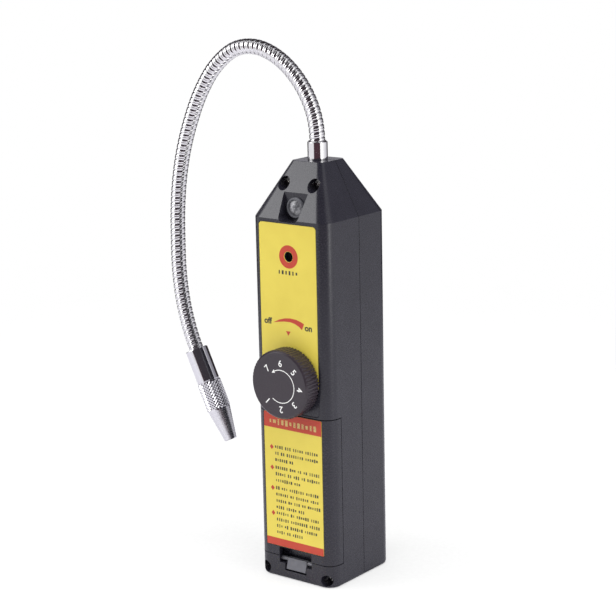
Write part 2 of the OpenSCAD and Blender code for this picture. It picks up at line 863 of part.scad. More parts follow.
// Ferrule that carries the neck, with a stem through the flat top
module neck_ferrule() {
    rim = 0.5;
    socket_z = ferrule_h - neck_socket;
    color("#c4c6cb") translate([0, 0, body_h]) rotate_extrude() difference() {
        polygon([[0, -top_wall - neck_nut_t], [stem_d / 2, -top_wall - neck_nut_t], [stem_d / 2, 0],
            [ferrule_d / 2, 0], [ferrule_d / 2, ferrule_h - rim], [ferrule_d / 2 - rim, ferrule_h],
            [0, ferrule_h]]);
        translate([0, -far]) square([lead_d / 2 + lead_fit, 2 * far]);
        translate([0, socket_z]) square([neck_d / 2 + socket_fit, far]);
    }
}

module neck_nut() {
    color("#c4c6cb") translate([0, 0, ceiling_z - neck_nut_t]) difference() {
        cylinder(d = neck_nut_af / cos(30), h = neck_nut_t, $fn = 6);
        translate([0, 0, -bite]) cylinder(d = stem_d + 2 * fit, h = far);
    }
}

// Smooth curve through the points of a route, at u from 0 to the number of its spans
function on_curve(route, u) =
    let (i = min(floor(u), len(route) - 4), t = u - i,
        p0 = route[i], p1 = route[i + 1], p2 = route[i + 2], p3 = route[i + 3])
    0.5 * (2 * p1 + (p2 - p0) * t + (2 * p0 - 5 * p1 + 4 * p2 - p3) * t * t
        + (3 * p1 - p0 - 3 * p2 + p3) * t * t * t);

// The neck's route with the points beyond its ends that set the direction there
NECK_ROUTE = let (n = len(ROUTE)) concat(
    [ROUTE[1] - 2 * route_step * [0, 1]], ROUTE, [ROUTE[n - 2] + 2 * route_step * probe_dir]);
neck_spans = len(ROUTE) - 1;
neck_turns = round(neck_spans * route_step / neck_pitch);

function neck_point(u) = let (p = on_curve(NECK_ROUTE, u)) [p[0], 0, neck_foot + p[1]];

function neck_heading(u) = let (e = 0.01, d = u < e ? neck_point(e) - neck_point(0)
        : u > neck_spans - e ? neck_point(neck_spans) - neck_point(neck_spans - e)
        : neck_point(u + e) - neck_point(u - e)) d / norm(d);

// A ring of the neck at u: radius r, less a winding that runs round it as a thread does
function neck_ring(u, sides, r, depth) =
    let (c = neck_point(u), h = neck_heading(u), across = [h[2], 0, -h[0]])
    [for (j = [0:sides - 1]) let (a = 360 * j / sides,
            dip = depth * (1 - cos(360 * neck_turns * u / neck_spans - a)) / 2)
        c + (r - dip) * (cos(a) * across + sin(a) * [0, 1, 0])];

// Wound metal hose: a helical skin outside and a smooth bore inside
module gooseneck() {
    n = neck_turns * rings_per_turn;
    m = neck_spans * bore_rings;
    s = neck_sides;
    outside = [for (i = [0:n]) neck_ring(neck_spans * i / n, s, neck_d / 2, winding_depth)];
    bore = [for (i = [0:m]) neck_ring(neck_spans * i / m, s, neck_bore / 2, 0)];
    first = (n + 1) * s;
    ends = [for (j = [0:s - 1]) let (k = (j + 1) % s)
        each [[j, k, first + k], [j, first + k, first + j],
            [n * s + j, first + m * s + k, n * s + k],
            [n * s + j, first + m * s + j, first + m * s + k]]];
    color("#c4c6cb") polyhedron(flatten(concat(outside, bore)),
        concat(side_faces(n + 1, s, 0), side_faces(m + 1, s, first, true), ends));
}

// Insulated lead through the neck, from under the ferrule's nut to the back of the sensor
module sensor_lead() {
    tail = 8;
    foot = ceiling_z - neck_nut_t - tail;
    below = [[0, 0, foot], [0, 0, foot + tail]];
    n = neck_spans * lead_rings;
    s = lead_sides;
    up = [for (j = [0:s - 1]) let (a = 360 * j / s) lead_d / 2 * [cos(a), sin(a), 0]];
    heading = neck_heading(neck_spans);
    color("#5a2f2c") loft(concat(
        [for (c = below) [for (p = up) c + p]],
        [for (i = [0:n]) neck_ring(neck_spans * i / n, s, lead_d / 2, 0)],
        [[for (p = neck_ring(neck_spans, s, lead_d / 2, 0))
            p + (sensor_foot - sleeve_socket) * heading]]));
}

// A place on the probe's axis, measured from the top of its sleeve
function probe_point(l) = [sleeve_top[0] + l * probe_dir[0], 0, sleeve_top[1] + l * probe_dir[1]];

module on_probe() {
    translate(probe_point(0)) rotate([0, 180 - probe_tilt, 0]) children();
}

// Turned sleeve on the end of the neck, with the spigot that the tip cap goes on
module probe_sleeve() {
    rim = 0.5;
    color("#c4c6cb") on_probe() rotate_extrude() difference() {
        polygon([[0, 0], [sleeve_d / 2 - rim, 0], [sleeve_d / 2, rim], [sleeve_d / 2, sleeve_l],
            [spigot_d / 2, sleeve_l], [spigot_d / 2, spigot_end], [0, spigot_end]]);
        translate([0, -bite]) square([lead_d / 2 + lead_fit, far]);
        translate([0, -bite]) square([neck_d / 2 + socket_fit, sleeve_socket + bite]);
        translate([0, sensor_foot]) square([insulator_d / 2 + fit, far]);
    }
}

module sensor_insulator() {
    color("#e8e6df") on_probe() difference() {
        translate([0, 0, sensor_foot]) cylinder(d = insulator_d, h = insulator_l);
        translate([0, 0, sensor_foot + insulator_sunk]) cylinder(d = electrode_d + 2 * fit, h = far);
    }
}

module sensor_electrode() {
    color("#d8d9dd") on_probe() translate([0, 0, sensor_foot + insulator_sunk])
        cylinder(d = electrode_d, h = insulator_l - insulator_sunk + electrode_l);
}

// Knurled cap with a conical nose, open at the tip and hollow over the sensor
module tip_cap() {
    rim = 0.6;
    bore_r = spigot_d / 2 + cap_fit;
    color("#c4c6cb") on_probe() rotate_extrude() difference() {
        polygon([[0, sleeve_l], [cap_d / 2 - rim, sleeve_l], [cap_d / 2, sleeve_l + rim],
            [cap_d / 2, nose_start - rim], [cap_d / 2 - rim, nose_start], [nose_d / 2, nose_start],
            [nose_end_d / 2, nose_end], [0, nose_end]]);
        polygon([[0, sleeve_l - bite], [bore_r, sleeve_l - bite], [bore_r, spigot_end + cap_relief],
            [nose_bore / 2, chamber_end], [nose_bore / 2, nose_end + bite], [0, nose_end + bite]]);
    }
}

front_shell();
rear_shell();
battery_door();
door_latch();
housing_screws();
upper_label();
door_label();
knob();
pot_shaft();
pot_body();
pot_washer();
pot_nut();
circuit_board();
board_screws();
buzzer();
led();
led_bezel();
transformer_core();
transformer_coil();
capacitors();
control_chip();
cell_1();
cell_2();
cell_3();
cell_4();
spring_contacts();
flat_contacts();
neck_ferrule();
neck_nut();
gooseneck();
sensor_lead();
probe_sleeve();
sensor_insulator();
sensor_electrode();
tip_cap();
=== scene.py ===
"""Hand-held refrigerant leak detector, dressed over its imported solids.

Metres, +Z up, origin in the middle of the base, front face towards -Y.
"""
import json
import math
import random

import bmesh
import bpy
from mathutils import Matrix, Vector

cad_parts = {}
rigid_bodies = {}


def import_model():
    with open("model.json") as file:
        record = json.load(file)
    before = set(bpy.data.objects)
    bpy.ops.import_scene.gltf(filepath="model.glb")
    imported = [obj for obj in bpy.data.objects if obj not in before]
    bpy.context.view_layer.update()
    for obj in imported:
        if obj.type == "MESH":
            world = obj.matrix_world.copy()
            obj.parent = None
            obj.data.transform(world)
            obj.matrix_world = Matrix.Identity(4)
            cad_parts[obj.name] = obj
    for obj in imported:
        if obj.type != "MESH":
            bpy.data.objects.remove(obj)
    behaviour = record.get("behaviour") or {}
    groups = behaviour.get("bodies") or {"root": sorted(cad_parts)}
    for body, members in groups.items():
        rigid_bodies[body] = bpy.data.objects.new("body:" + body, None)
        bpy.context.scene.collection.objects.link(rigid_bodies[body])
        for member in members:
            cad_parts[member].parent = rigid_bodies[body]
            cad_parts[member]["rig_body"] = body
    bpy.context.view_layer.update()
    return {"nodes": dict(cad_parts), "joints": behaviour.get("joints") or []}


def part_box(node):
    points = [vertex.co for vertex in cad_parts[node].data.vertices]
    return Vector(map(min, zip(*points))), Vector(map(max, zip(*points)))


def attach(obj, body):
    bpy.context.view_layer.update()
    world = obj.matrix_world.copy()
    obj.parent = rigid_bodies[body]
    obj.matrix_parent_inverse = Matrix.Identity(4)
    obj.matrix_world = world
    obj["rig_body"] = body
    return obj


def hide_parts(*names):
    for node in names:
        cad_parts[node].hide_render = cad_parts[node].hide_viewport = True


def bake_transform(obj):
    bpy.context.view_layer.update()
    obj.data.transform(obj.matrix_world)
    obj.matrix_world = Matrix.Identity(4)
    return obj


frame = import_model()
nodes = frame["nodes"]
MM = 0.001

# Housing: two half shells injection moulded in charcoal ABS, which meet just behind mid depth. The
# spark-eroded mould leaves a fine even grain and a satin sheen, and every edge comes out slightly broken.
shell_edge = 0.12 * MM
shell_grain = 0.7 * MM
shell_grain_depth = 0.06 * MM
shell_mottle = 9 * MM
abs_ior = 1.53
weld = 0.001 * MM
flat_within = math.radians(1)
smooth_within = math.radians(50)
edge_from = math.radians(25)


def srgb(code):
    """Linear colour of an sRGB hex value."""
    parts = [int(code[i:i + 2], 16) / 255 for i in (1, 3, 5)]
    return [c / 12.92 if c <= 0.04045 else ((c + 0.055) / 1.055) ** 2.4 for c in parts] + [1]


def add_node(tree, kind, inputs, **settings):
    """A node with its settings. Each input is a plain value, or the output that feeds it."""
    node = tree.nodes.new(kind)
    for name, value in settings.items():
        setattr(node, name, value)
    for name, value in inputs.items():
        if isinstance(value, bpy.types.NodeSocket):
            tree.links.new(value, node.inputs[name])
        else:
            node.inputs[name].default_value = value
    return node


def new_material(name):
    """A material with its node tree, its shader, and the object coordinates that its patterns follow."""
    material = bpy.data.materials.new(name)
    material.use_nodes = True
    tree = material.node_tree
    place = add_node(tree, "ShaderNodeTexCoord", {}).outputs["Object"]
    return material, tree, tree.nodes["Principled BSDF"], place


def shade_between(tree, ramp_input, stops, interpolation="LINEAR"):
    """Output that runs through sRGB hex tones, each at its own share of the input."""
    node = add_node(tree, "ShaderNodeValToRGB", {"Fac": ramp_input})
    ramp = node.color_ramp
    ramp.interpolation = interpolation
    while len(ramp.elements) < len(stops):
        ramp.elements.new(1)
    for element, (at, tone) in zip(ramp.elements, stops):
        element.position = at
        element.color = srgb(tone)
    return node.outputs["Color"]


def made_mesh(work, name):
    """A new mesh of the shape that was worked on."""
    mesh = bpy.data.meshes.new(name)
    work.to_mesh(mesh)
    work.free()
    return mesh


def settled(piece):
    """The piece with its modifiers turned into a plain mesh of its own."""
    graph = bpy.context.evaluated_depsgraph_get()
    mesh = bpy.data.meshes.new_from_object(piece.evaluated_get(graph), depsgraph=graph)
    piece.modifiers.clear()
    piece.data = mesh
    return piece


def carried(piece, node):
    """Puts the piece on the body of the CAD node that it stands for, and hides that node."""
    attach(piece, nodes[node]["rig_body"])
    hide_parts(node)
    return piece


def linked(name, mesh, material):
    """A new object in the scene with one material."""
    mesh.materials.clear()
    mesh.materials.append(material)
    piece = bpy.data.objects.new(name, mesh)
    bpy.context.scene.collection.objects.link(piece)
    return piece


def finished(node, material, edge):
    """Stands for a CAD node: flat faces joined, sharp edges broken and round faces smooth."""
    work = bmesh.new()
    work.from_mesh(nodes[node].data)
    bmesh.ops.remove_doubles(work, verts=work.verts, dist=weld)
    bmesh.ops.dissolve_limit(work, angle_limit=flat_within, verts=work.verts, edges=work.edges)
    mesh = made_mesh(work, node + "_finished")
    for extra in ("custom_normal", "sharp_edge", "sharp_face"):
        if extra in mesh.attributes:
            mesh.attributes.remove(mesh.attributes[extra])
    mesh.shade_smooth()
    mesh.set_sharp_from_angle(angle=smooth_within)
    piece = linked(node + "_finished", mesh, material)
    bevel = piece.modifiers.new("broken_edges", "BEVEL")
    bevel.width = edge
    bevel.segments = 2
    bevel.limit_method = "ANGLE"
    bevel.angle_limit = edge_from
    bevel.use_clamp_overlap = False
    normals = piece.modifiers.new("flat_faces", "WEIGHTED_NORMAL")
    normals.keep_sharp = False
    low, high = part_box(node)
    settled(piece)
    for vert in piece.data.vertices:
        vert.co = [min(max(c, a), b) for c, a, b in zip(vert.co, low, high)]
    return carried(piece, node)


# The grain is drawn several times coarser than the real 0.1 mm, so that it shows at this distance.
charcoal, tree, shader, place = new_material("charcoal_abs_moulded")
mottle = add_node(tree, "ShaderNodeTexNoise", {"Vector": place, "Scale": 1 / shell_mottle, "Detail": 4})
grain = add_node(tree, "ShaderNodeTexNoise", {"Vector": place, "Scale": 1 / shell_grain, "Detail": 3})
tint = shade_between(tree, mottle.outputs["Fac"], [(0.3, "#201F28"), (0.7, "#25242D")])
gloss = add_node(tree, "ShaderNodeMapRange",
                 {"Value": grain.outputs["Fac"], "To Min": 0.22, "To Max": 0.32})
relief = add_node(tree, "ShaderNodeBump",
                  {"Height": grain.outputs["Fac"], "Strength": 0.25, "Distance": shell_grain_depth})
tree.links.new(tint, shader.inputs["Base Color"])
tree.links.new(gloss.outputs["Result"], shader.inputs["Roughness"])
tree.links.new(relief.outputs["Normal"], shader.inputs["Normal"])
shader.inputs["IOR"].default_value = abs_ior
finished("front_shell", charcoal, shell_edge)
finished("rear_shell", charcoal, shell_edge)

# Circuit board: glass fibre laminate under green solder mask, cut from a panel and screwed to four posts.
# Faint tracks show through the mask.
track_pitch = 1.9 * MM
solder_mask, tree, shader, place = new_material("green_solder_mask_on_laminate")
tracks = add_node(tree, "ShaderNodeTexVoronoi", {"Vector": place, "Scale": 1 / track_pitch},
                  distance="MANHATTAN", feature="DISTANCE_TO_EDGE")
tint = shade_between(tree, tracks.outputs["Distance"], [(0.02, "#1C5A32"), (0.1, "#12431F")])
tree.links.new(tint, shader.inputs["Base Color"])
shader.inputs["Roughness"].default_value = 0.35
nodes["circuit_board"].data.materials[0] = solder_mask

# Small steel pieces: board screws, the dial's potentiometer with its washer, nut and shaft, the nut under
# the neck, the cell contacts and the sensor's wire. All are zinc plated, with a soft cloudy sheen.
zinc_cloud = 1.5 * MM


def mottled(name, patch, tones, detail, roughness):
    """A material whose tones drift over it in patches. Where two roughnesses are given, they drift too."""
    material, tree, shader, place = new_material(name)
    noise = add_node(tree, "ShaderNodeTexNoise", {"Vector": place, "Scale": 1 / patch, "Detail": detail})
    drift = noise.outputs["Fac"]
    tree.links.new(shade_between(tree, drift, tones), shader.inputs["Base Color"])
    if isinstance(roughness, tuple):
        least, most = roughness
        gloss = add_node(tree, "ShaderNodeMapRange", {"Value": drift, "To Min": least, "To Max": most})
        tree.links.new(gloss.outputs["Result"], shader.inputs["Roughness"])
    else:
        shader.inputs["Roughness"].default_value = roughness
    return material, shader, tree, drift


zinc, shader = mottled("zinc_plated_steel", zinc_cloud, [(0.3, "#B4B6B8"), (0.7, "#CCCDCE")], detail=5,
                       roughness=(0.22, 0.42))[:2]
shader.inputs["Metallic"].default_value = 1
for node in ("board_screws", "pot_body", "pot_shaft", "pot_washer", "pot_nut", "neck_nut",
             "spring_contacts", "flat_contacts", "sensor_electrode"):
    nodes[node].data.materials[0] = zinc

# Black components on the board: the sounder in its moulded can and the control chip in epoxy.
# Both have the dull, slightly speckled skin of filled resin.
speckle = 0.5 * MM
epoxy = mottled("black_filled_epoxy", speckle, [(0.35, "#1E1E21"), (0.65, "#28282B")], detail=2,
                roughness=0.55)[0]
for node in ("buzzer", "control_chip"):
    nodes[node].data.materials[0] = epoxy

# Capacitors: aluminium cans soldered to the board, each in a shrunk blue plastic sleeve.
# The sleeve is glossy and has a paler stripe down one side.
sleeve_stripe = 3.2 * MM
unit_wave = 0.314


def banded(name, pitch, direction, tones, roughness):
    """A material of straight bands. A wave texture at a scale of 1 has one band for each unit_wave."""
    material, tree, shader, place = new_material(name)
    wave = add_node(tree, "ShaderNodeTexWave", {"Vector": place, "Scale": unit_wave / pitch},
                    wave_type="BANDS", bands_direction=direction)
    tree.links.new(shade_between(tree, wave.outputs["Fac"], tones), shader.inputs["Base Color"])
    shader.inputs["Roughness"].default_value = roughness
    return material, shader


blue_sleeve = banded("blue_shrink_sleeve", sleeve_stripe, "X", [(0.75, "#26305C"), (0.85, "#8F97B5")],
                     roughness=0.3)[0]
nodes["capacitors"].data.materials[0] = blue_sleeve

# Transformer: a stack of dark iron laminations round a coil of enamelled copper wire.
# Fine lines run along both, one for each sheet and each turn.
lamination = 0.7 * MM
wire_pitch = 0.8 * MM
iron, shader = banded("laminated_iron", lamination, "Y", [(0.1, "#3A3A3D"), (0.5, "#636367")],
                      roughness=0.5)
shader.inputs["Metallic"].default_value = 0.8
nodes["transformer_core"].data.materials[0] = iron
copper, shader = banded("enamelled_copper_wire", wire_pitch, "Z",
                        [(0.05, "#5E3218"), (0.6, "#B4673A")], roughness=0.32)
shader.inputs["Metallic"].default_value = 0.9
nodes["transformer_coil"].data.materials[0] = copper

# Cells: four AA cells, plated steel cans in a printed sleeve that stops short of both ends.
# The sleeve is plain slate blue with a paler band near the button.
button_up = (1, 4)
sleeve_from = 0.012
band_from = 0.74
sleeve_to = 0.955
can, slate, band = "#C9CACC", "#2B4558", "#B9C2C6"
for number in range(1, 5):
    low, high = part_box(f"cell_{number}")
    foot, button = (low.z, high.z) if number in button_up else (high.z, low.z)
    sleeve, tree, shader, place = new_material(f"printed_cell_sleeve_{number}")
    height = add_node(tree, "ShaderNodeSeparateXYZ", {"Vector": place}).outputs["Z"]
    share = add_node(tree, "ShaderNodeMapRange",
                     {"Value": height, "From Min": foot, "From Max": button}).outputs["Result"]
    bands = [(0, can), (sleeve_from, slate), (band_from, band), (sleeve_to, can)]
    bare = [(0, "#FFFFFF"), (sleeve_from, "#000000"), (sleeve_to, "#FFFFFF")]
    tint = shade_between(tree, share, bands, "CONSTANT")
    metal = shade_between(tree, share, bare, "CONSTANT")
    tree.links.new(tint, shader.inputs["Base Color"])
    tree.links.new(metal, shader.inputs["Metallic"])
    shader.inputs["Roughness"].default_value = 0.3
    nodes[f"cell_{number}"].data.materials[0] = sleeve

# Housing screws: four nickel plated pan heads with a cross recess, deep in their recesses, where only a
# glint of them shows.
screw_edge = 0.12 * MM
nickel_haze = 0.8 * MM
nickel, shader = mottled("bright_nickel_plate", nickel_haze, [(0.3, "#DDDCD8"), (0.7, "#E8E7E3")], detail=3,
                         roughness=0.16)[:2]
shader.inputs["Metallic"].default_value = 1
finished("housing_screws", nickel, screw_edge)

# Labels: two die-cut vinyl stickers in shallow recesses, printed yellow with a satin laminate over the ink.
# The marks are screen printed: a ring, a swelling arc, a pointer, coloured bands, bullets and small type.
label_edge = 0.05 * MM
ink_t = 0.03 * MM
vinyl_ripple = 14 * MM
capital_share = 0.7
front = Matrix.Rotation(math.radians(90), 4, "X")
label_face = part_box("upper_label")[0].y


def ink(name, hue, deep):
    """A printed ink, a little uneven as ink on vinyl is, under a satin laminate."""
    return mottled(name, vinyl_ripple, [(0.35, deep), (0.65, hue)], detail=5, roughness=0.42)[0]


def ring(radius, steps=64):
    """Points of a circle."""
    return [(radius * math.cos(math.tau * i / steps), radius * math.sin(math.tau * i / steps))
            for i in range(steps)]


def flat_shapes(outlines):
    """A flat curve of closed outlines, where an outline inside another is a hole."""
    curve = bpy.data.curves.new("outline", "CURVE")
    curve.dimensions = "2D"
    curve.fill_mode = "BOTH"
    curve.extrude = ink_t / 2
    for points in outlines:
        spline = curve.splines.new("POLY")
        spline.points.add(len(points) - 1)
        spline.use_cyclic_u = True
        for point, (x, y) in zip(spline.points, points):
            point.co = (x * MM, y * MM, 0, 1)
    return curve


def lettered(text, height, weight):
    """A short text as a flat curve, centred on its origin, its strokes widened by a share of its height."""
    curve = bpy.data.curves.new("text", "FONT")
    curve.body = text
    curve.size = height * MM / capital_share
    curve.align_x = "CENTER"
    curve.align_y = "CENTER"
    curve.fill_mode = "BOTH"
    curve.extrude = ink_t / 2
    curve.offset = weight * height * MM
    curve.resolution_u = 4
    return curve


def printed(name, marks, material):
    """One mesh of ink from flat curves, each with the matrix that lays it on its face."""
    work = bmesh.new()
    for curve, matrix in marks:
        shape = bpy.data.objects.new("mark", curve)
        bpy.context.scene.collection.objects.link(shape)
        graph = bpy.context.evaluated_depsgraph_get()
        mesh = bpy.data.meshes.new_from_object(shape.evaluated_get(graph), depsgraph=graph)
        mesh.transform(matrix)
        work.from_mesh(mesh)
        bpy.data.objects.remove(shape)
        bpy.data.meshes.remove(mesh)
    bmesh.ops.remove_doubles(work, verts=work.verts, dist=weld)
    return linked(name, made_mesh(work, name), material)


def on_label(x, z):
    """Matrix that lays a mark on the labels' face, at a place in millimetres."""
    return Matrix.Translation((x * MM, label_face, z * MM)) @ front


yellow_vinyl = ink("yellow_printed_vinyl", "#E6D256", "#E0CB50")
red_ink = ink("red_screen_ink", "#C24029", "#BA3B26")
black_ink = ink("black_screen_ink", "#2C2924", "#24221E")
pale_ink = ink("pale_yellow_screen_ink", "#E8CF86", "#E0C67C")
upper_label = finished("upper_label", yellow_vinyl, label_edge)
finished("door_label", yellow_vinyl, label_edge)

# The yellow of the upper label stops behind the dial. Below that it has the housing's own charcoal.
yellow_foot = 84.6 * MM
work = bmesh.new()
work.from_mesh(upper_label.data)
bmesh.ops.bisect_plane(work, geom=work.verts[:] + work.edges[:] + work.faces[:],
                       plane_co=(0, 0, yellow_foot), plane_no=(0, 0, 1))
for face in work.faces:
    face.material_index = int(face.calc_center_median().z < yellow_foot)
work.to_mesh(upper_label.data)
work.free()
upper_label.data.materials.append(charcoal)

# Marks of the upper label, in millimetres across and up: the ring of the sound hole, the arc that swells
# from off to on, the pointer over the dial, and the words at the ends of the arc.
sound_hole_z = 138.1
sound_ring_r = 4.75
sound_hole_r = 2.25
word_h = 2.5
word_weight = 0.05
word_places = [("off", -11.4, 110.5), ("on", 9.4, 109.7)]
hole_ring = flat_shapes([ring(sound_ring_r), ring(sound_hole_r)])
swell = [(-8.6, 110.1), (-5.6, 111.6), (-2.6, 112.5), (0.2, 112.8), (3.2, 112.6), (5.4, 112), (7.2, 111.3),
         (6.7, 110.1), (6.1, 108.7), (4.5, 109.9), (2.4, 110.8), (0, 111.2), (-3, 111.1), (-6, 110.6)]
pointer = [(-2.2, 107.3), (0.2, 107.3), (-1, 105.4)]
dial_marks = printed("dial_scale_print",
                     [(hole_ring, on_label(0, sound_hole_z)), (flat_shapes([swell]), on_label(0, 0)),
                      (flat_shapes([pointer]), on_label(0, 0))], red_ink)
switch_words = printed("switch_words_print",
                       [(lettered(word, word_h, word_weight), on_label(x, z)) for word, x, z in word_places],
                       black_ink)
for piece in (dial_marks, switch_words):
    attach(piece, "housing")

# Marks of the door label: a red band at the top and at the foot, and a diamond at the head of each
# paragraph, which is listed with its height and its count of lines.
low, high = (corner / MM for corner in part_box("door_label"))
header_foot = 65.3
footer_top = 17.2
band_inset = 0.05
bullet_x = -11.2
bullet_w = 1
bullet_h = 1.15
bullets = [(56.8, 3), (47.9, 3), (39, 4), (28, 4)]
band_left = low.x + band_inset
band_right = high.x - band_inset
bands = [[(band_left, z0), (band_right, z0), (band_right, z1), (band_left, z1)]
         for z0, z1 in ((header_foot, high.z - band_inset), (low.z + band_inset, footer_top))]
diamonds = [[(bullet_x - bullet_w, z), (bullet_x, z - bullet_h), (bullet_x + bullet_w, z),
             (bullet_x, z + bullet_h)] for z, lines in bullets]
door_bands = printed("door_bands_print", [(flat_shapes(bands + diamonds), on_label(0, 0))], red_ink)
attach(door_bands, "door")

# Rows of small type on the labels: short upright dabs of ink in word-like groups. They were printed in the
# same pass as the bands and the bullets.
least_dab = (0.45, 1, 0.55)


def shape_tree(name, inputs):
    """A new geometry tree with named inputs of given kinds, and the outputs of its input node."""
    tree = bpy.data.node_groups.new(name, "GeometryNodeTree")
    tree.interface.new_socket("Geometry", in_out="INPUT", socket_type="NodeSocketGeometry")
    for label, kind in inputs.items():
        tree.interface.new_socket(label, in_out="INPUT", socket_type="NodeSocket" + kind)
    tree.interface.new_socket("Geometry", in_out="OUTPUT", socket_type="NodeSocketGeometry")
    return tree, add_node(tree, "NodeGroupInput", {}).outputs


def end_tree(tree, shape, material):
    """Ends a geometry tree: its instances become real and it gets its material."""
    whole = add_node(tree, "GeometryNodeRealizeInstances", {"Geometry": shape}).outputs["Geometry"]
    covered = add_node(tree, "GeometryNodeSetMaterial", {"Geometry": whole, "Material": material})
    add_node(tree, "NodeGroupOutput", {"Geometry": covered.outputs["Geometry"]})


def set_inputs(piece, tree, values):
    """Gives a piece a node tree as its modifier, with its inputs set by identifier."""
    modifier = piece.modifiers.new(tree.name, "NODES")
    modifier.node_group = tree
    for item in tree.interface.items_tree:
        if item.in_out == "INPUT" and item.name in values:
            modifier[item.identifier] = values[item.name]
    return piece


type_tree, given = shape_tree("type_rows", {"Width": "Float", "Height": "Float", "Thickness": "Float",
                                            "Seed": "Int", "Ink": "Material"})
scatter = add_node(type_tree, "FunctionNodeRandomValue",
                   {0: least_dab, 1: (1, 1, 1), "Seed": given["Seed"]}, data_type="FLOAT_VECTOR")
size = add_node(type_tree, "ShaderNodeCombineXYZ",
                {"X": given["Width"], "Y": given["Thickness"], "Z": given["Height"]})
dab_size = add_node(type_tree, "ShaderNodeVectorMath", {0: scatter.outputs[0], 1: size.outputs[0]},
                    operation="MULTIPLY")
dab = add_node(type_tree, "GeometryNodeMeshCube", {"Size": (1, 1, 1)})
dabs = add_node(type_tree, "GeometryNodeInstanceOnPoints",
                {"Points": given["Geometry"], "Instance": dab.outputs["Mesh"],
                 "Scale": dab_size.outputs[0]})
end_tree(type_tree, dabs.outputs["Instances"], given["Ink"])


def typed(name, body, ink, dab, spots, seed):
    """One or more rows of dabs of a width and height on a label, at places in millimetres."""
    width, height = dab
    mesh = bpy.data.meshes.new(name)
    mesh.from_pydata([(x * MM, label_face, z * MM) for x, z in spots], [], [])
    piece = set_inputs(linked(name, mesh, ink), type_tree,
                       {"Width": width * MM, "Height": height * MM, "Thickness": ink_t, "Seed": seed,
                        "Ink": ink})
    settled(piece)
    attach(piece, body)


def dab_row(count, pitch, x, z):
    """Places of a row of dabs round its middle."""
    return [((i - (count - 1) / 2) * pitch + x, z) for i in range(count)]


type_left = -9.1
type_right = 13.4
type_pitch = 1.12
type_lift = 0.3
type_dab = (0.8, 1.55)
line_pitch = 2.8
last_line = (2, 6)
word_letters = (2, 8)
word_gap = 0.7 * type_pitch
word_seed = 7
words = random.Random(word_seed)
spots = []
for z, lines in bullets:
    for line in range(lines):
        x = type_left
        end = type_right if line < lines - 1 else words.uniform(*last_line)
        while x < end - 2 * type_pitch:
            letters = words.randint(*word_letters)
            for _ in range(letters):
                if x <= end:
                    spots.append((x, z + type_lift - line * line_pitch))
                x += type_pitch
            x += word_gap
typed("door_type_print", "door", black_ink, type_dab, spots, seed=3)

heading_z = 68
heading_pitch = 2.1
heading_dabs = 12
heading_dab = (1.5, 2.6)
heading = dab_row(heading_dabs, heading_pitch, 0, heading_z)
typed("door_heading_print", "door", pale_ink, heading_dab, heading, seed=5)

caption_x = -0.5
caption_z = 131.5
caption_pitch = 1.75
caption_dabs = 6
caption_dab = (1.15, 1.9)
caption = dab_row(caption_dabs, caption_pitch, caption_x, caption_z)
typed("sound_caption_print", "housing", black_ink, caption_dab, caption, seed=8)

# Indicator: a domed lens of smoked, diffusing acrylic in a grey nylon bezel, pressed into the notch in the
# slope. The lens is cloudy and unlit, and the bezel has a fine grain.
lens_haze = 1.5 * MM
bezel_grain = 0.6 * MM
lens = mottled("diffusing_acrylic_lens", lens_haze,
               [(0.38, "#505055"), (0.5, "#86868B"), (0.62, "#B4B4B8")], detail=3, roughness=0.32)[0]
nodes["led"].data.materials[0] = lens
bezel_nylon = mottled("grey_nylon_bezel", bezel_grain, [(0.35, "#5A5A60"), (0.65, "#66666C")], detail=2,
                      roughness=0.28)[0]
nodes["led_bezel"].data.materials[0] = bezel_nylon

# Dial: a fluted knob moulded in dark grey ABS with a slight warm tint, pushed on the potentiometer's shaft.
# Its face is pad printed in white with numbers and a turning arrow, a little off its middle.
dial_edge = 0.08 * MM
dial_grain = 0.6 * MM
dial_grain_depth = 0.05 * MM
dial_plastic, shader, tree, grain = mottled("warm_grey_abs_moulded", dial_grain,
                                            [(0.3, "#312A31"), (0.7, "#373037")], detail=3, roughness=0.24)
relief = add_node(tree, "ShaderNodeBump",
                  {"Height": grain, "Strength": 0.2, "Distance": dial_grain_depth})
tree.links.new(relief.outputs["Normal"], shader.inputs["Normal"])
finished("knob", dial_plastic, dial_edge)
low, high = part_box("knob")
print_shift = Vector((0.85, 0, -0.4)) * MM
print_centre = Vector(((low.x + high.x) / 2, low.y, (low.z + high.z) / 2)) + print_shift
number_r = 9.5
number_h = 2.7
number_weight = 0.015
number_step = 45
top_number = 6
arrow_r = 6.85
arrow_w = 0.32
arrow_start = -28
arrow_end = 219
arrow_step = 6
head_start = -26
head_end = -40
head_w = 0.75
white_ink = ink("white_pad_print", "#FCFCFB", "#F5F5F4")


def on_dial(clock):
    """Matrix of the dial's face, turned clockwise by an angle in degrees."""
    return Matrix.Translation(print_centre) @ front @ Matrix.Rotation(-math.radians(clock), 4, "Z")


def clock_point(radius, clock):
    """Point at a radius and an angle clockwise from the top."""
    angle = math.radians(clock)
    return radius * math.sin(angle), radius * math.cos(angle)


sweep = list(range(arrow_start, arrow_end, arrow_step))
arrow = [clock_point(arrow_r + arrow_w / 2, clock) for clock in sweep]
arrow += [clock_point(arrow_r - arrow_w / 2, clock) for clock in reversed(sweep)]
head = [clock_point(arrow_r + head_w, head_start), clock_point(arrow_r - head_w, head_start),
        clock_point(arrow_r, head_end)]
marks = [(flat_shapes([arrow]), on_dial(0)), (flat_shapes([head]), on_dial(0))]
for number in range(1, 8):
    marks.append((lettered(str(number), number_h, number_weight),
                  on_dial(number_step * (top_number - number)) @ Matrix.Translation((0, number_r * MM, 0))))
dial_print = printed("dial_number_print", marks, white_ink)
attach(dial_print, "dial")

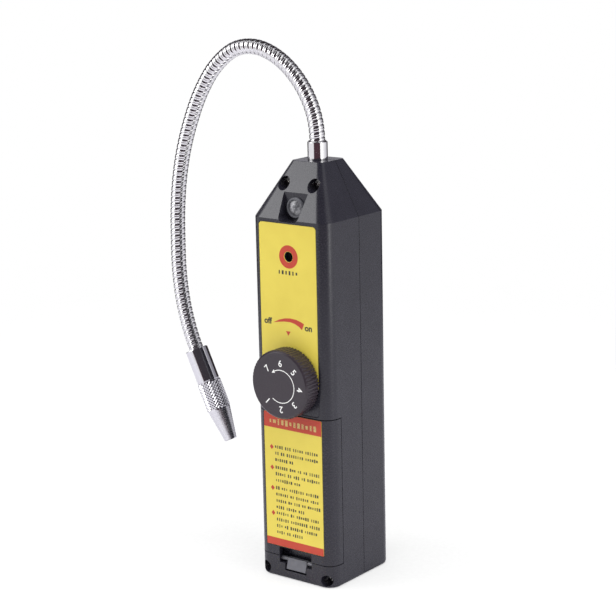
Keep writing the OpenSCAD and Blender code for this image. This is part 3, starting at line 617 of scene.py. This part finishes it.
# Battery door and its latch: the door is moulded with the shells and carries its label. The latch is a
# rocker moulded in light grey acetal, smooth and a little shinier.
door_edge = 0.05 * MM
latch_edge = 0.2 * MM
latch_cloud = 2.5 * MM
finished("battery_door", charcoal, door_edge)
acetal = mottled("light_grey_acetal", latch_cloud, [(0.3, "#616168"), (0.7, "#6B6B72")], detail=3,
                 roughness=0.33)[0]
finished("door_latch", acetal, latch_edge)

# Neck: a gooseneck of two steel wires wound together in close turns and chrome plated, which stays where
# it is bent. It stands in a turned ferrule on the flat top and ends in the socket of the probe sleeve.
ferrule_edge = 0.12 * MM
plate_haze = 4 * MM
chrome, shader = mottled("bright_chrome_plate", plate_haze, [(0.3, "#E6E5E6"), (0.7, "#EFEEEE")], detail=4,
                         roughness=(0.05, 0.11))[:2]
shader.inputs["Metallic"].default_value = 1
finished("neck_ferrule", chrome, ferrule_edge)

# The neck's middle line, in millimetres across and up from its foot, is a smooth curve through these points.
neck_foot = 178
route = [(0, 0), (-1.1, 13.5), (-6.8, 25.6), (-16.6, 35.4), (-29, 40.8), (-41.7, 39.9), (-52.8, 32.4),
         (-61.1, 21.7), (-67.3, 9.5), (-72.1, -3.5), (-75.2, -16.5), (-76.9, -30), (-77.45, -43.5),
         (-77.4, -57.5), (-75.8, -71), (-72.3, -84.1), (-67, -96.5)]
route_step = 13.5
span_steps = 12
probe_axis = Vector(next(joint["axis"] for joint in frame["joints"] if joint["name"] == "tip_cap_off"))
points = [Vector((x, 0, z + neck_foot)) * MM for x, z in route]
before = points[1] - Vector((0, 0, 2 * route_step)) * MM
after = points[-2] + probe_axis * 2 * route_step * MM
guides = [before] + points + [after]
line = []
for p0, p1, p2, p3 in zip(guides, guides[1:], guides[2:], guides[3:]):
    for share in (i / span_steps for i in range(span_steps)):
        bend = (2 * p0 - 5 * p1 + 4 * p2 - p3) * share ** 2 + (3 * p1 - 3 * p2 + p3 - p0) * share ** 3
        line.append((2 * p1 + (p2 - p0) * share + bend) / 2)
line.append(points[-1])
length = sum((b - a).length for a, b in zip(line, line[1:]))

# The winding is a sheet wrapped round that line. Each row of it climbs by one turn as it goes round, a deep
# groove parts the turns and a shallow one the two wires, and the first and last rows close to a point.
neck_d = 6.4
groove = 0.3
wire_gap = 0.09
groove_power = 4
turn_pitch = 2.4
turn_steps = 16
neck_sides = 32
end_share = 0.0001
neck_weld = 0.002 * MM
wire_smooth_within = math.radians(40)
neck_tree, given = shape_tree("wound_neck", {"Turns": "Int", "Rows": "Int", "Sides": "Int", "Radius": "Float",
                                             "Groove": "Float", "Wire Gap": "Float", "Plating": "Material"})
across = add_node(neck_tree, "ShaderNodeMath", {0: given["Sides"], 1: 1}, operation="ADD")
sheet = add_node(neck_tree, "GeometryNodeMeshGrid",
                 {"Size X": 1, "Size Y": 1, "Vertices X": across.outputs[0], "Vertices Y": given["Rows"]})
position = add_node(neck_tree, "GeometryNodeInputPosition", {}).outputs[0]
spot = add_node(neck_tree, "ShaderNodeSeparateXYZ", {"Vector": position}).outputs
round_share = add_node(neck_tree, "ShaderNodeMath", {0: spot["X"], 1: 0.5}, operation="ADD").outputs[0]
row_share = add_node(neck_tree, "ShaderNodeMath", {0: spot["Y"], 1: 0.5}, operation="ADD").outputs[0]
rounds = add_node(neck_tree, "ShaderNodeMath", {0: given["Turns"], 1: 1}, operation="ADD").outputs[0]
turn = add_node(neck_tree, "ShaderNodeMath", {0: row_share, 1: rounds}, operation="MULTIPLY").outputs[0]
lead = add_node(neck_tree, "ShaderNodeMath", {0: turn, 1: round_share}, operation="SUBTRACT").outputs[0]
along = add_node(neck_tree, "ShaderNodeMath", {0: lead, 1: given["Turns"]}, operation="DIVIDE",
                 use_clamp=True).outputs[0]
sample = add_node(neck_tree, "GeometryNodeSampleCurve", {"Curves": given["Geometry"], "Factor": along},
                  mode="FACTOR").outputs
sideways = add_node(neck_tree, "ShaderNodeVectorMath", {0: sample["Tangent"], 1: (0, 1, 0)},
                    operation="CROSS_PRODUCT").outputs[0]
angle = add_node(neck_tree, "ShaderNodeMath", {0: round_share, 1: math.tau},
                 operation="MULTIPLY").outputs[0]
cosine = add_node(neck_tree, "ShaderNodeMath", {0: angle}, operation="COSINE").outputs[0]
sine = add_node(neck_tree, "ShaderNodeMath", {0: angle}, operation="SINE").outputs[0]
planar = add_node(neck_tree, "ShaderNodeVectorMath", {0: sideways, "Scale": cosine},
                  operation="SCALE").outputs[0]
depth = add_node(neck_tree, "ShaderNodeCombineXYZ", {"Y": sine}).outputs[0]
outward = add_node(neck_tree, "ShaderNodeVectorMath", {0: planar, 1: depth}, operation="ADD").outputs[0]
valley = 0
for wires, depth_name in ((1, "Groove"), (2, "Wire Gap")):
    wound = add_node(neck_tree, "ShaderNodeMath", {0: turn, 1: wires}, operation="MULTIPLY").outputs[0]
    middle = add_node(neck_tree, "ShaderNodeMath", {0: wound}, operation="FRACT").outputs[0]
    offset = add_node(neck_tree, "ShaderNodeMath", {0: middle, 1: 2, 2: -1},
                      operation="MULTIPLY_ADD").outputs[0]
    slack = add_node(neck_tree, "ShaderNodeMath", {0: offset, 1: groove_power},
                     operation="POWER").outputs[0]
    valley = add_node(neck_tree, "ShaderNodeMath", {0: slack, 1: given[depth_name], 2: valley},
                      operation="MULTIPLY_ADD").outputs[0]
reach = add_node(neck_tree, "ShaderNodeMath", {0: given["Radius"], 1: valley},
                 operation="SUBTRACT").outputs[0]
from_end = add_node(neck_tree, "ShaderNodeMath", {0: row_share, 1: 0.5}, operation="PINGPONG").outputs[0]
open_row = add_node(neck_tree, "ShaderNodeMath", {0: from_end, 1: end_share},
                    operation="GREATER_THAN").outputs[0]
radius = add_node(neck_tree, "ShaderNodeMath", {0: reach, 1: open_row}, operation="MULTIPLY").outputs[0]
arm = add_node(neck_tree, "ShaderNodeVectorMath", {0: outward, "Scale": radius},
               operation="SCALE").outputs[0]
skin = add_node(neck_tree, "ShaderNodeVectorMath", {0: sample["Position"], 1: arm},
                operation="ADD").outputs[0]
placed = add_node(neck_tree, "GeometryNodeSetPosition",
                  {"Geometry": sheet.outputs["Mesh"], "Position": skin}).outputs[0]
closed = add_node(neck_tree, "GeometryNodeMergeByDistance",
                  {"Geometry": placed, "Distance": neck_weld}).outputs[0]
end_tree(neck_tree, closed, given["Plating"])

path = bpy.data.curves.new("neck_path", "CURVE")
path.dimensions = "3D"
spline = path.splines.new("POLY")
spline.points.add(len(line) - 1)
for point, spot in zip(spline.points, line):
    point.co = (*spot, 1)
guide = bpy.data.objects.new("neck_path", path)
bpy.context.scene.collection.objects.link(guide)
turns = round(length / (turn_pitch * MM))
set_inputs(guide, neck_tree, {"Turns": turns, "Rows": (turns + 1) * turn_steps + 1, "Sides": neck_sides,
                              "Radius": neck_d / 2 * MM, "Groove": groove * MM,
                              "Wire Gap": wire_gap * MM, "Plating": chrome})
graph = bpy.context.evaluated_depsgraph_get()
mesh = bpy.data.meshes.new_from_object(guide.evaluated_get(graph), depsgraph=graph)
bpy.data.objects.remove(guide)
work = bmesh.new()
work.from_mesh(mesh)
bmesh.ops.recalc_face_normals(work, faces=work.faces)
work.to_mesh(mesh)
work.free()
mesh.shade_smooth()
mesh.set_sharp_from_angle(angle=wire_smooth_within)
neck = linked("gooseneck_wound", mesh, chrome)

# The top of the probe sleeve lies one socket depth back along the probe's axis from the end of the neck's
# line.
socket = 5
sleeve_top = points[-1] - socket * MM * probe_axis
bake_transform(neck)
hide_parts("gooseneck")

# Sensor lead: a thin wire in dark red silicone, drawn through the bore of the neck to the probe.
# The rubber is dull, with a faint bloom.
lead_bloom = 3 * MM
silicone = mottled("dark_red_silicone", lead_bloom, [(0.3, "#5E2024"), (0.7, "#6B2A2C")], detail=3,
                   roughness=0.5)[0]
work = bmesh.new()
work.from_mesh(nodes["sensor_lead"].data)
bmesh.ops.remove_doubles(work, verts=work.verts, dist=weld)
wire = linked("sensor_lead_wire", made_mesh(work, "sensor_lead_wire"), silicone)
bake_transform(wire)
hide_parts("sensor_lead")

# Probe: a sleeve turned from brass and chrome plated, with fine tool marks round it under the plating, which
# is left satin on the nose. It holds the sensor, a wire in a white ceramic bush, and its spigot takes the
# tip cap. Radii and distances from the top of the sleeve are in millimetres.
tool_mark = 0.5 * MM
spin_steps = 72
turned_smooth_within = math.radians(12)
socket_r = 3.4
sleeve_r = 4.95
sleeve_end = 15
top_round = 0.3
foot_round = 0.2
mid_round = 0.3
spigot_r = 3.5
spigot_end = 22
spigot_edge = 0.2
bush_r = 2.7
bush_start = 20
lead_r = 1.3
nose_start = 28.5
satin_edge = 0.1 * MM
turned_chrome, tree, shader, place = new_material("turned_chrome_plate")
axial = add_node(tree, "ShaderNodeVectorMath", {0: place, 1: probe_axis},
                 operation="DOT_PRODUCT").outputs["Value"]
tooling = add_node(tree, "ShaderNodeTexNoise", {"W": axial, "Scale": 1 / tool_mark, "Detail": 3},
                   noise_dimensions="1D").outputs["Fac"]
satin_from = sleeve_top.dot(probe_axis) + nose_start * MM
satin = add_node(tree, "ShaderNodeMapRange",
                 {"Value": axial, "From Min": satin_from, "From Max": satin_from + satin_edge,
                  "To Max": 0.15}).outputs["Result"]
polish = add_node(tree, "ShaderNodeMapRange",
                  {"Value": tooling, "To Min": 0.07, "To Max": 0.17}).outputs["Result"]
gloss = add_node(tree, "ShaderNodeMath", {0: polish, 1: satin}, operation="ADD").outputs[0]
tint = shade_between(tree, tooling, [(0.3, "#E2E1E4"), (0.7, "#EDECEF")])
tree.links.new(tint, shader.inputs["Base Color"])
tree.links.new(gloss, shader.inputs["Roughness"])
shader.inputs["Metallic"].default_value = 1


def turned(name, profile):
    """A piece spun from a closed profile of radii and distances, in millimetres, upright on its axis."""
    work = bmesh.new()
    corners = [work.verts.new((r * MM, 0, z * MM)) for r, z in profile]
    edges = [work.edges.new(pair) for pair in zip(corners, corners[1:] + corners[:1])]
    bmesh.ops.spin(work, geom=corners + edges, axis=(0, 0, 1), cent=(0, 0, 0), steps=spin_steps,
                   angle=math.tau)
    bmesh.ops.remove_doubles(work, verts=work.verts, dist=weld)
    bmesh.ops.recalc_face_normals(work, faces=work.faces)
    return linked(name, made_mesh(work, name), turned_chrome)


def on_probe(piece, node):
    """Lays an upright piece along the probe, from the top of the sleeve, in place of its CAD node."""
    piece.data.shade_smooth()
    piece.data.set_sharp_from_angle(angle=turned_smooth_within)
    lean = Vector((0, 0, 1)).rotation_difference(probe_axis).to_matrix().to_4x4()
    piece.data.transform(Matrix.Translation(sleeve_top) @ lean)
    return carried(piece, node)


sleeve = turned("probe_sleeve_turned",
                [(socket_r, 0), (sleeve_r - top_round, 0),
                 (sleeve_r - mid_round * top_round, mid_round * top_round), (sleeve_r, top_round),
                 (sleeve_r, sleeve_end - foot_round),
                 (sleeve_r - mid_round * foot_round, sleeve_end - mid_round * foot_round),
                 (sleeve_r - foot_round, sleeve_end), (spigot_r, sleeve_end),
                 (spigot_r, spigot_end - spigot_edge), (spigot_r - spigot_edge, spigot_end),
                 (bush_r, spigot_end), (bush_r, bush_start), (lead_r, bush_start), (lead_r, socket),
                 (socket_r, socket)])
on_probe(sleeve, "probe_sleeve")
glaze_haze = 1 * MM
ceramic = mottled("white_steatite_ceramic", glaze_haze, [(0.3, "#DEDBD2"), (0.7, "#ECEAE3")], detail=2,
                  roughness=0.3)[0]
nodes["sensor_insulator"].data.materials[0] = ceramic

# Tip cap: turned from brass and chrome plated, with a diamond knurled band to grip and a conical nose
# whose bore lets the gas in. It screws on the spigot. The knurl is drawn coarser than the real one, so that
# it shows at this distance.
cap_start = sleeve_end
cap_r = 5.3
cap_rim = 0.3
thread_r = 3.6
thread_end = 22.5
chamber_end = 36
nose_end = 42.4
nose_r = 4.95
mouth_r = 2.72
mouth_flare = 0.06
mouth_h = 0.3
mouth_round = 0.2
bore_r = 1.7
bore_edge = 0.15
knurl_h = 0.3
knurl_round = 24
knurl_rows = 17
tooth_root = 0.03
band_r = cap_r - knurl_h
cap = turned("tip_cap_knurled",
             [(thread_r, cap_start), (band_r - cap_rim, cap_start), (band_r, cap_start + cap_rim),
              (band_r, nose_start - cap_rim), (nose_r, nose_start),
              (mouth_r + mouth_flare, nose_end - mouth_h), (mouth_r - mouth_round, nose_end),
              (bore_r + bore_edge, nose_end), (bore_r, nose_end - bore_edge), (bore_r, chamber_end),
              (thread_r, thread_end)])

knurl_tree, given = shape_tree("diamond_knurl", {"Round": "Int", "Rows": "Int", "Radius": "Float",
                                                 "Height": "Float", "Half Width": "Float",
                                                 "Half Length": "Float", "Start": "Float",
                                                 "Plating": "Material"})
count = add_node(knurl_tree, "ShaderNodeMath", {0: given["Round"], 1: given["Rows"]}, operation="MULTIPLY")
dots = add_node(knurl_tree, "GeometryNodePoints", {"Count": count.outputs[0]})
index = add_node(knurl_tree, "GeometryNodeInputIndex", {}).outputs[0]
ratio = add_node(knurl_tree, "ShaderNodeMath", {0: index, 1: given["Round"]}, operation="DIVIDE").outputs[0]
row = add_node(knurl_tree, "ShaderNodeMath", {0: ratio}, operation="FLOOR").outputs[0]
stagger = add_node(knurl_tree, "ShaderNodeMath", {0: row, 1: 0.5}, operation="MULTIPLY").outputs[0]
step = add_node(knurl_tree, "ShaderNodeMath", {0: index, 1: stagger}, operation="ADD").outputs[0]
full = add_node(knurl_tree, "ShaderNodeMath", {0: math.tau, 1: given["Round"]},
                operation="DIVIDE").outputs[0]
angle = add_node(knurl_tree, "ShaderNodeMath", {0: step, 1: full}, operation="MULTIPLY").outputs[0]
cosine = add_node(knurl_tree, "ShaderNodeMath", {0: angle}, operation="COSINE").outputs[0]
sine = add_node(knurl_tree, "ShaderNodeMath", {0: angle}, operation="SINE").outputs[0]
outward = add_node(knurl_tree, "ShaderNodeCombineXYZ", {"X": cosine, "Y": sine}).outputs[0]
seat = add_node(knurl_tree, "ShaderNodeVectorMath", {0: outward, "Scale": given["Radius"]},
                operation="SCALE").outputs[0]
rise = add_node(knurl_tree, "ShaderNodeMath", {0: row, 1: given["Half Length"], 2: given["Start"]},
                operation="MULTIPLY_ADD").outputs[0]
lift = add_node(knurl_tree, "ShaderNodeCombineXYZ", {"Z": rise}).outputs[0]
spot = add_node(knurl_tree, "ShaderNodeVectorMath", {0: seat, 1: lift}, operation="ADD").outputs[0]
placed = add_node(knurl_tree, "GeometryNodeSetPosition",
                  {"Geometry": dots.outputs[0], "Position": spot}).outputs[0]
facing = add_node(knurl_tree, "FunctionNodeAxesToRotation",
                  {"Primary Axis": outward, "Secondary Axis": (0, 0, 1)},
                  primary_axis="Z", secondary_axis="Y").outputs[0]
size = add_node(knurl_tree, "ShaderNodeCombineXYZ",
                {"X": given["Half Width"], "Y": given["Half Length"], "Z": given["Height"]}).outputs[0]
tooth = add_node(knurl_tree, "GeometryNodeMeshCone",
                 {"Vertices": 4, "Radius Top": 0, "Radius Bottom": 1, "Depth": 1}, fill_type="NONE")
teeth = add_node(knurl_tree, "GeometryNodeInstanceOnPoints",
                 {"Points": placed, "Instance": tooth.outputs["Mesh"], "Rotation": facing, "Scale": size})
joined = add_node(knurl_tree, "GeometryNodeJoinGeometry", {"Geometry": given["Geometry"]})
knurl_tree.links.new(teeth.outputs[0], joined.inputs[0])
end_tree(knurl_tree, joined.outputs[0], given["Plating"])
tooth_row = (nose_start - cap_start - 2 * cap_rim) / (knurl_rows + 1)
set_inputs(cap, knurl_tree, {"Round": knurl_round, "Rows": knurl_rows,
                             "Radius": (band_r - tooth_root) * MM, "Height": (knurl_h + tooth_root) * MM,
                             "Half Width": math.pi * band_r / knurl_round * MM,
                             "Half Length": tooth_row * MM,
                             "Start": (cap_start + cap_rim + tooth_row) * MM, "Plating": turned_chrome})
on_probe(settled(cap), "tip_cap")

# Studio: a pale floor that fades into a white room, soft boxes at the left, at the right and above, and a
# strip light that only gleams. Metal mirrors a table that ends before the camera, a dark room round the
# camera, and dark cards far behind on both sides, which give it thin outlines.
azimuth = math.radians(37.89)
elevation = math.radians(13.009)
roll = math.radians(-1.235)
distance = 0.751671
focal_px = 1821.98
image_px = 616
sensor_mm = 36
aim_right = -0.005265
aim_up = 0.113183
towards = Vector((math.sin(azimuth), -math.cos(azimuth), 0))
backward = towards * math.cos(elevation) + Vector((0, 0, math.sin(elevation)))
level = Vector((math.cos(azimuth), math.sin(azimuth), 0))
upward = backward.cross(level)
right = math.cos(roll) * level + math.sin(roll) * upward
top = math.cos(roll) * upward - math.sin(roll) * level
eye = aim_right * level + Vector((0, 0, aim_up)) + distance * backward
lens_data = bpy.data.cameras.new("camera")
lens_data.sensor_width = sensor_mm
lens_data.lens = focal_px * sensor_mm / image_px
lens_data.clip_start = 0.01
camera = bpy.data.objects.new("camera", lens_data)
camera.matrix_world = Matrix((right, top, backward)).transposed().to_4x4()
camera.matrix_world.translation = eye
bpy.context.scene.collection.objects.link(camera)
bpy.context.scene.camera = camera
bpy.context.scene.view_settings.view_transform = "Standard"

floor_r = 0.9
fade_from = 0.2
fade_to = 0.6
fibre_size = 2 * MM
table_r = 0.5
table_shift = 0.12 * towards
shadow_share = 0.4
paper, tree, shader, place = new_material("white_paper_floor")
path_kind = add_node(tree, "ShaderNodeLightPath", {}).outputs
radius = add_node(tree, "ShaderNodeVectorMath", {0: place}, operation="LENGTH").outputs["Value"]
cover = add_node(tree, "ShaderNodeMapRange",
                 {"Value": radius, "From Min": fade_from, "From Max": fade_to, "To Min": 1, "To Max": 0},
                 interpolation_type="SMOOTHSTEP").outputs["Result"]
spread = add_node(tree, "ShaderNodeVectorMath", {0: place, 1: table_shift}, operation="DISTANCE")
table = add_node(tree, "ShaderNodeMath", {0: spread.outputs["Value"], 1: table_r},
                 operation="LESS_THAN").outputs[0]
mirrored_table = add_node(tree, "ShaderNodeMath", {0: table, 1: path_kind["Is Glossy Ray"]},
                          operation="MULTIPLY").outputs[0]
widened = add_node(tree, "ShaderNodeMath", {0: cover, 1: mirrored_table}, operation="MAXIMUM").outputs[0]
thinned = add_node(tree, "ShaderNodeMapRange", {"Value": path_kind["Is Camera Ray"], "To Min": 1,
                                                "To Max": shadow_share}).outputs["Result"]
opacity = add_node(tree, "ShaderNodeMath", {0: widened, 1: thinned}, operation="MULTIPLY").outputs[0]
fibre = add_node(tree, "ShaderNodeTexNoise", {"Vector": place, "Scale": 1 / fibre_size, "Detail": 3})
tint = shade_between(tree, fibre.outputs["Fac"], [(0.3, "#F8F8F8"), (0.7, "#FCFCFC")])
tint = add_node(tree, "ShaderNodeMix", {0: path_kind["Is Glossy Ray"], 6: tint, 7: srgb("#DEDDE4")},
                data_type="RGBA").outputs[2]
tree.links.new(tint, shader.inputs["Base Color"])
tree.links.new(opacity, shader.inputs["Alpha"])
shader.inputs["Roughness"].default_value = 0.9
shader.inputs["Specular IOR Level"].default_value = 0
work = bmesh.new()
bmesh.ops.create_circle(work, cap_ends=True, segments=96, radius=floor_r)
linked("floor", made_mesh(work, "floor"), paper)

# The room has a tone for each bearing, in degrees from the camera towards the right of the picture, at three
# heights. Only mirroring surfaces see it.
glow, white, grey, shade = "#FFFFFF", "#D2D2D5", "#B4B3B9", "#7E7D84"
dusk, brown, card = "#322E33", "#402D34", "#262224"
low_tones = [(-128, card), (-120, white), (-47, white), (-42, brown), (29, brown), (34, glow), (60, glow),
             (75, white), (95, white), (104, grey), (122, grey), (130, card)]
middle_tones = [(-160, grey), (-150, card), (-122, card), (-114, white), (-66, white), (-52, dusk),
                (33, dusk), (40, glow), (60, glow), (75, white), (90, shade), (115, shade), (122, card),
                (150, card), (160, grey)]
upper_tones = [(-128, card), (-116, white), (-80, white), (-66, dusk), (33, dusk), (45, white), (75, white),
               (90, shade), (115, shade), (125, card)]
upper_zones = [(0.04, 0.08, middle_tones), (0.32, 0.4, upper_tones)]
world = bpy.data.worlds.new("white_room")
bpy.context.scene.world = world
world.use_nodes = True
tree = world.node_tree
tree.nodes.clear()
path_kind = add_node(tree, "ShaderNodeLightPath", {}).outputs
gaze = add_node(tree, "ShaderNodeTexCoord", {}).outputs["Generated"]
ahead = add_node(tree, "ShaderNodeVectorMath", {0: gaze, 1: towards},
                 operation="DOT_PRODUCT").outputs["Value"]
aside = add_node(tree, "ShaderNodeVectorMath", {0: gaze, 1: level},
                 operation="DOT_PRODUCT").outputs["Value"]
bearing = add_node(tree, "ShaderNodeMath", {0: aside, 1: ahead}, operation="ARCTAN2").outputs[0]
share = add_node(tree, "ShaderNodeMapRange",
                 {"Value": bearing, "From Min": -math.pi, "From Max": math.pi}).outputs["Result"]
height = add_node(tree, "ShaderNodeSeparateXYZ", {"Vector": gaze}).outputs["Z"]


def toned(tones):
    """Output with the tone of each bearing."""
    return shade_between(tree, share, [((at + 180) / 360, tone) for at, tone in tones])


walls = toned(low_tones)
for foot, head, tones in upper_zones:
    above = add_node(tree, "ShaderNodeMapRange", {"Value": height, "From Min": foot, "From Max": head},
                     interpolation_type="SMOOTHSTEP").outputs["Result"]
    walls = add_node(tree, "ShaderNodeMix", {0: above, 6: walls, 7: toned(tones)},
                     data_type="RGBA").outputs[2]
seen = add_node(tree, "ShaderNodeBackground", {"Color": srgb("#FFFFFF"), "Strength": 1}).outputs[0]
mirrored = add_node(tree, "ShaderNodeBackground", {"Color": walls, "Strength": 1.4}).outputs[0]
lighting = add_node(tree, "ShaderNodeBackground", {"Color": srgb("#FFFFFF"), "Strength": 0.55}).outputs[0]
shiny = add_node(tree, "ShaderNodeMath",
                 {0: path_kind["Is Glossy Ray"], 1: path_kind["Is Transmission Ray"]},
                 operation="MAXIMUM").outputs[0]
room = add_node(tree, "ShaderNodeMixShader", {0: shiny, 1: lighting, 2: mirrored}).outputs[0]
backdrop = add_node(tree, "ShaderNodeMixShader",
                    {0: path_kind["Is Camera Ray"], 1: room, 2: seen}).outputs[0]
add_node(tree, "ShaderNodeOutputWorld", {"Surface": backdrop})

# Each light has its place, width, height and power. The left box and the strip show in mirroring surfaces.
strip_bearing = math.radians(48)
strip_away = 1.1
strip_spot = strip_away * (math.cos(strip_bearing) * towards + math.sin(strip_bearing) * level)
strip_spot.z = 0.05
soft_boxes = [("left_box", (-0.9, -0.8, 0.75), 0.7, 0.7, 6), ("right_box", (1.25, 0.15, 0.6), 0.8, 0.8, 7),
              ("top_box", (0.1, -0.25, 1.3), 0.8, 0.8, 9), ("strip_box", strip_spot, 0.14, 0.9, 1.6)]
aim = Vector((0, 0, 0.1))
for name, spot, width, height, power in soft_boxes:
    lamp = bpy.data.lights.new(name, "AREA")
    lamp.shape = "RECTANGLE"
    lamp.size = width
    lamp.size_y = height
    lamp.energy = power
    box = bpy.data.objects.new(name, lamp)
    box.location = spot
    box.visible_glossy = name in ("left_box", "strip_box")
    box.visible_diffuse = name != "strip_box"
    box.rotation_euler = (aim - Vector(spot)).to_track_quat("-Z", "Y").to_euler()
    bpy.context.scene.collection.objects.link(box)
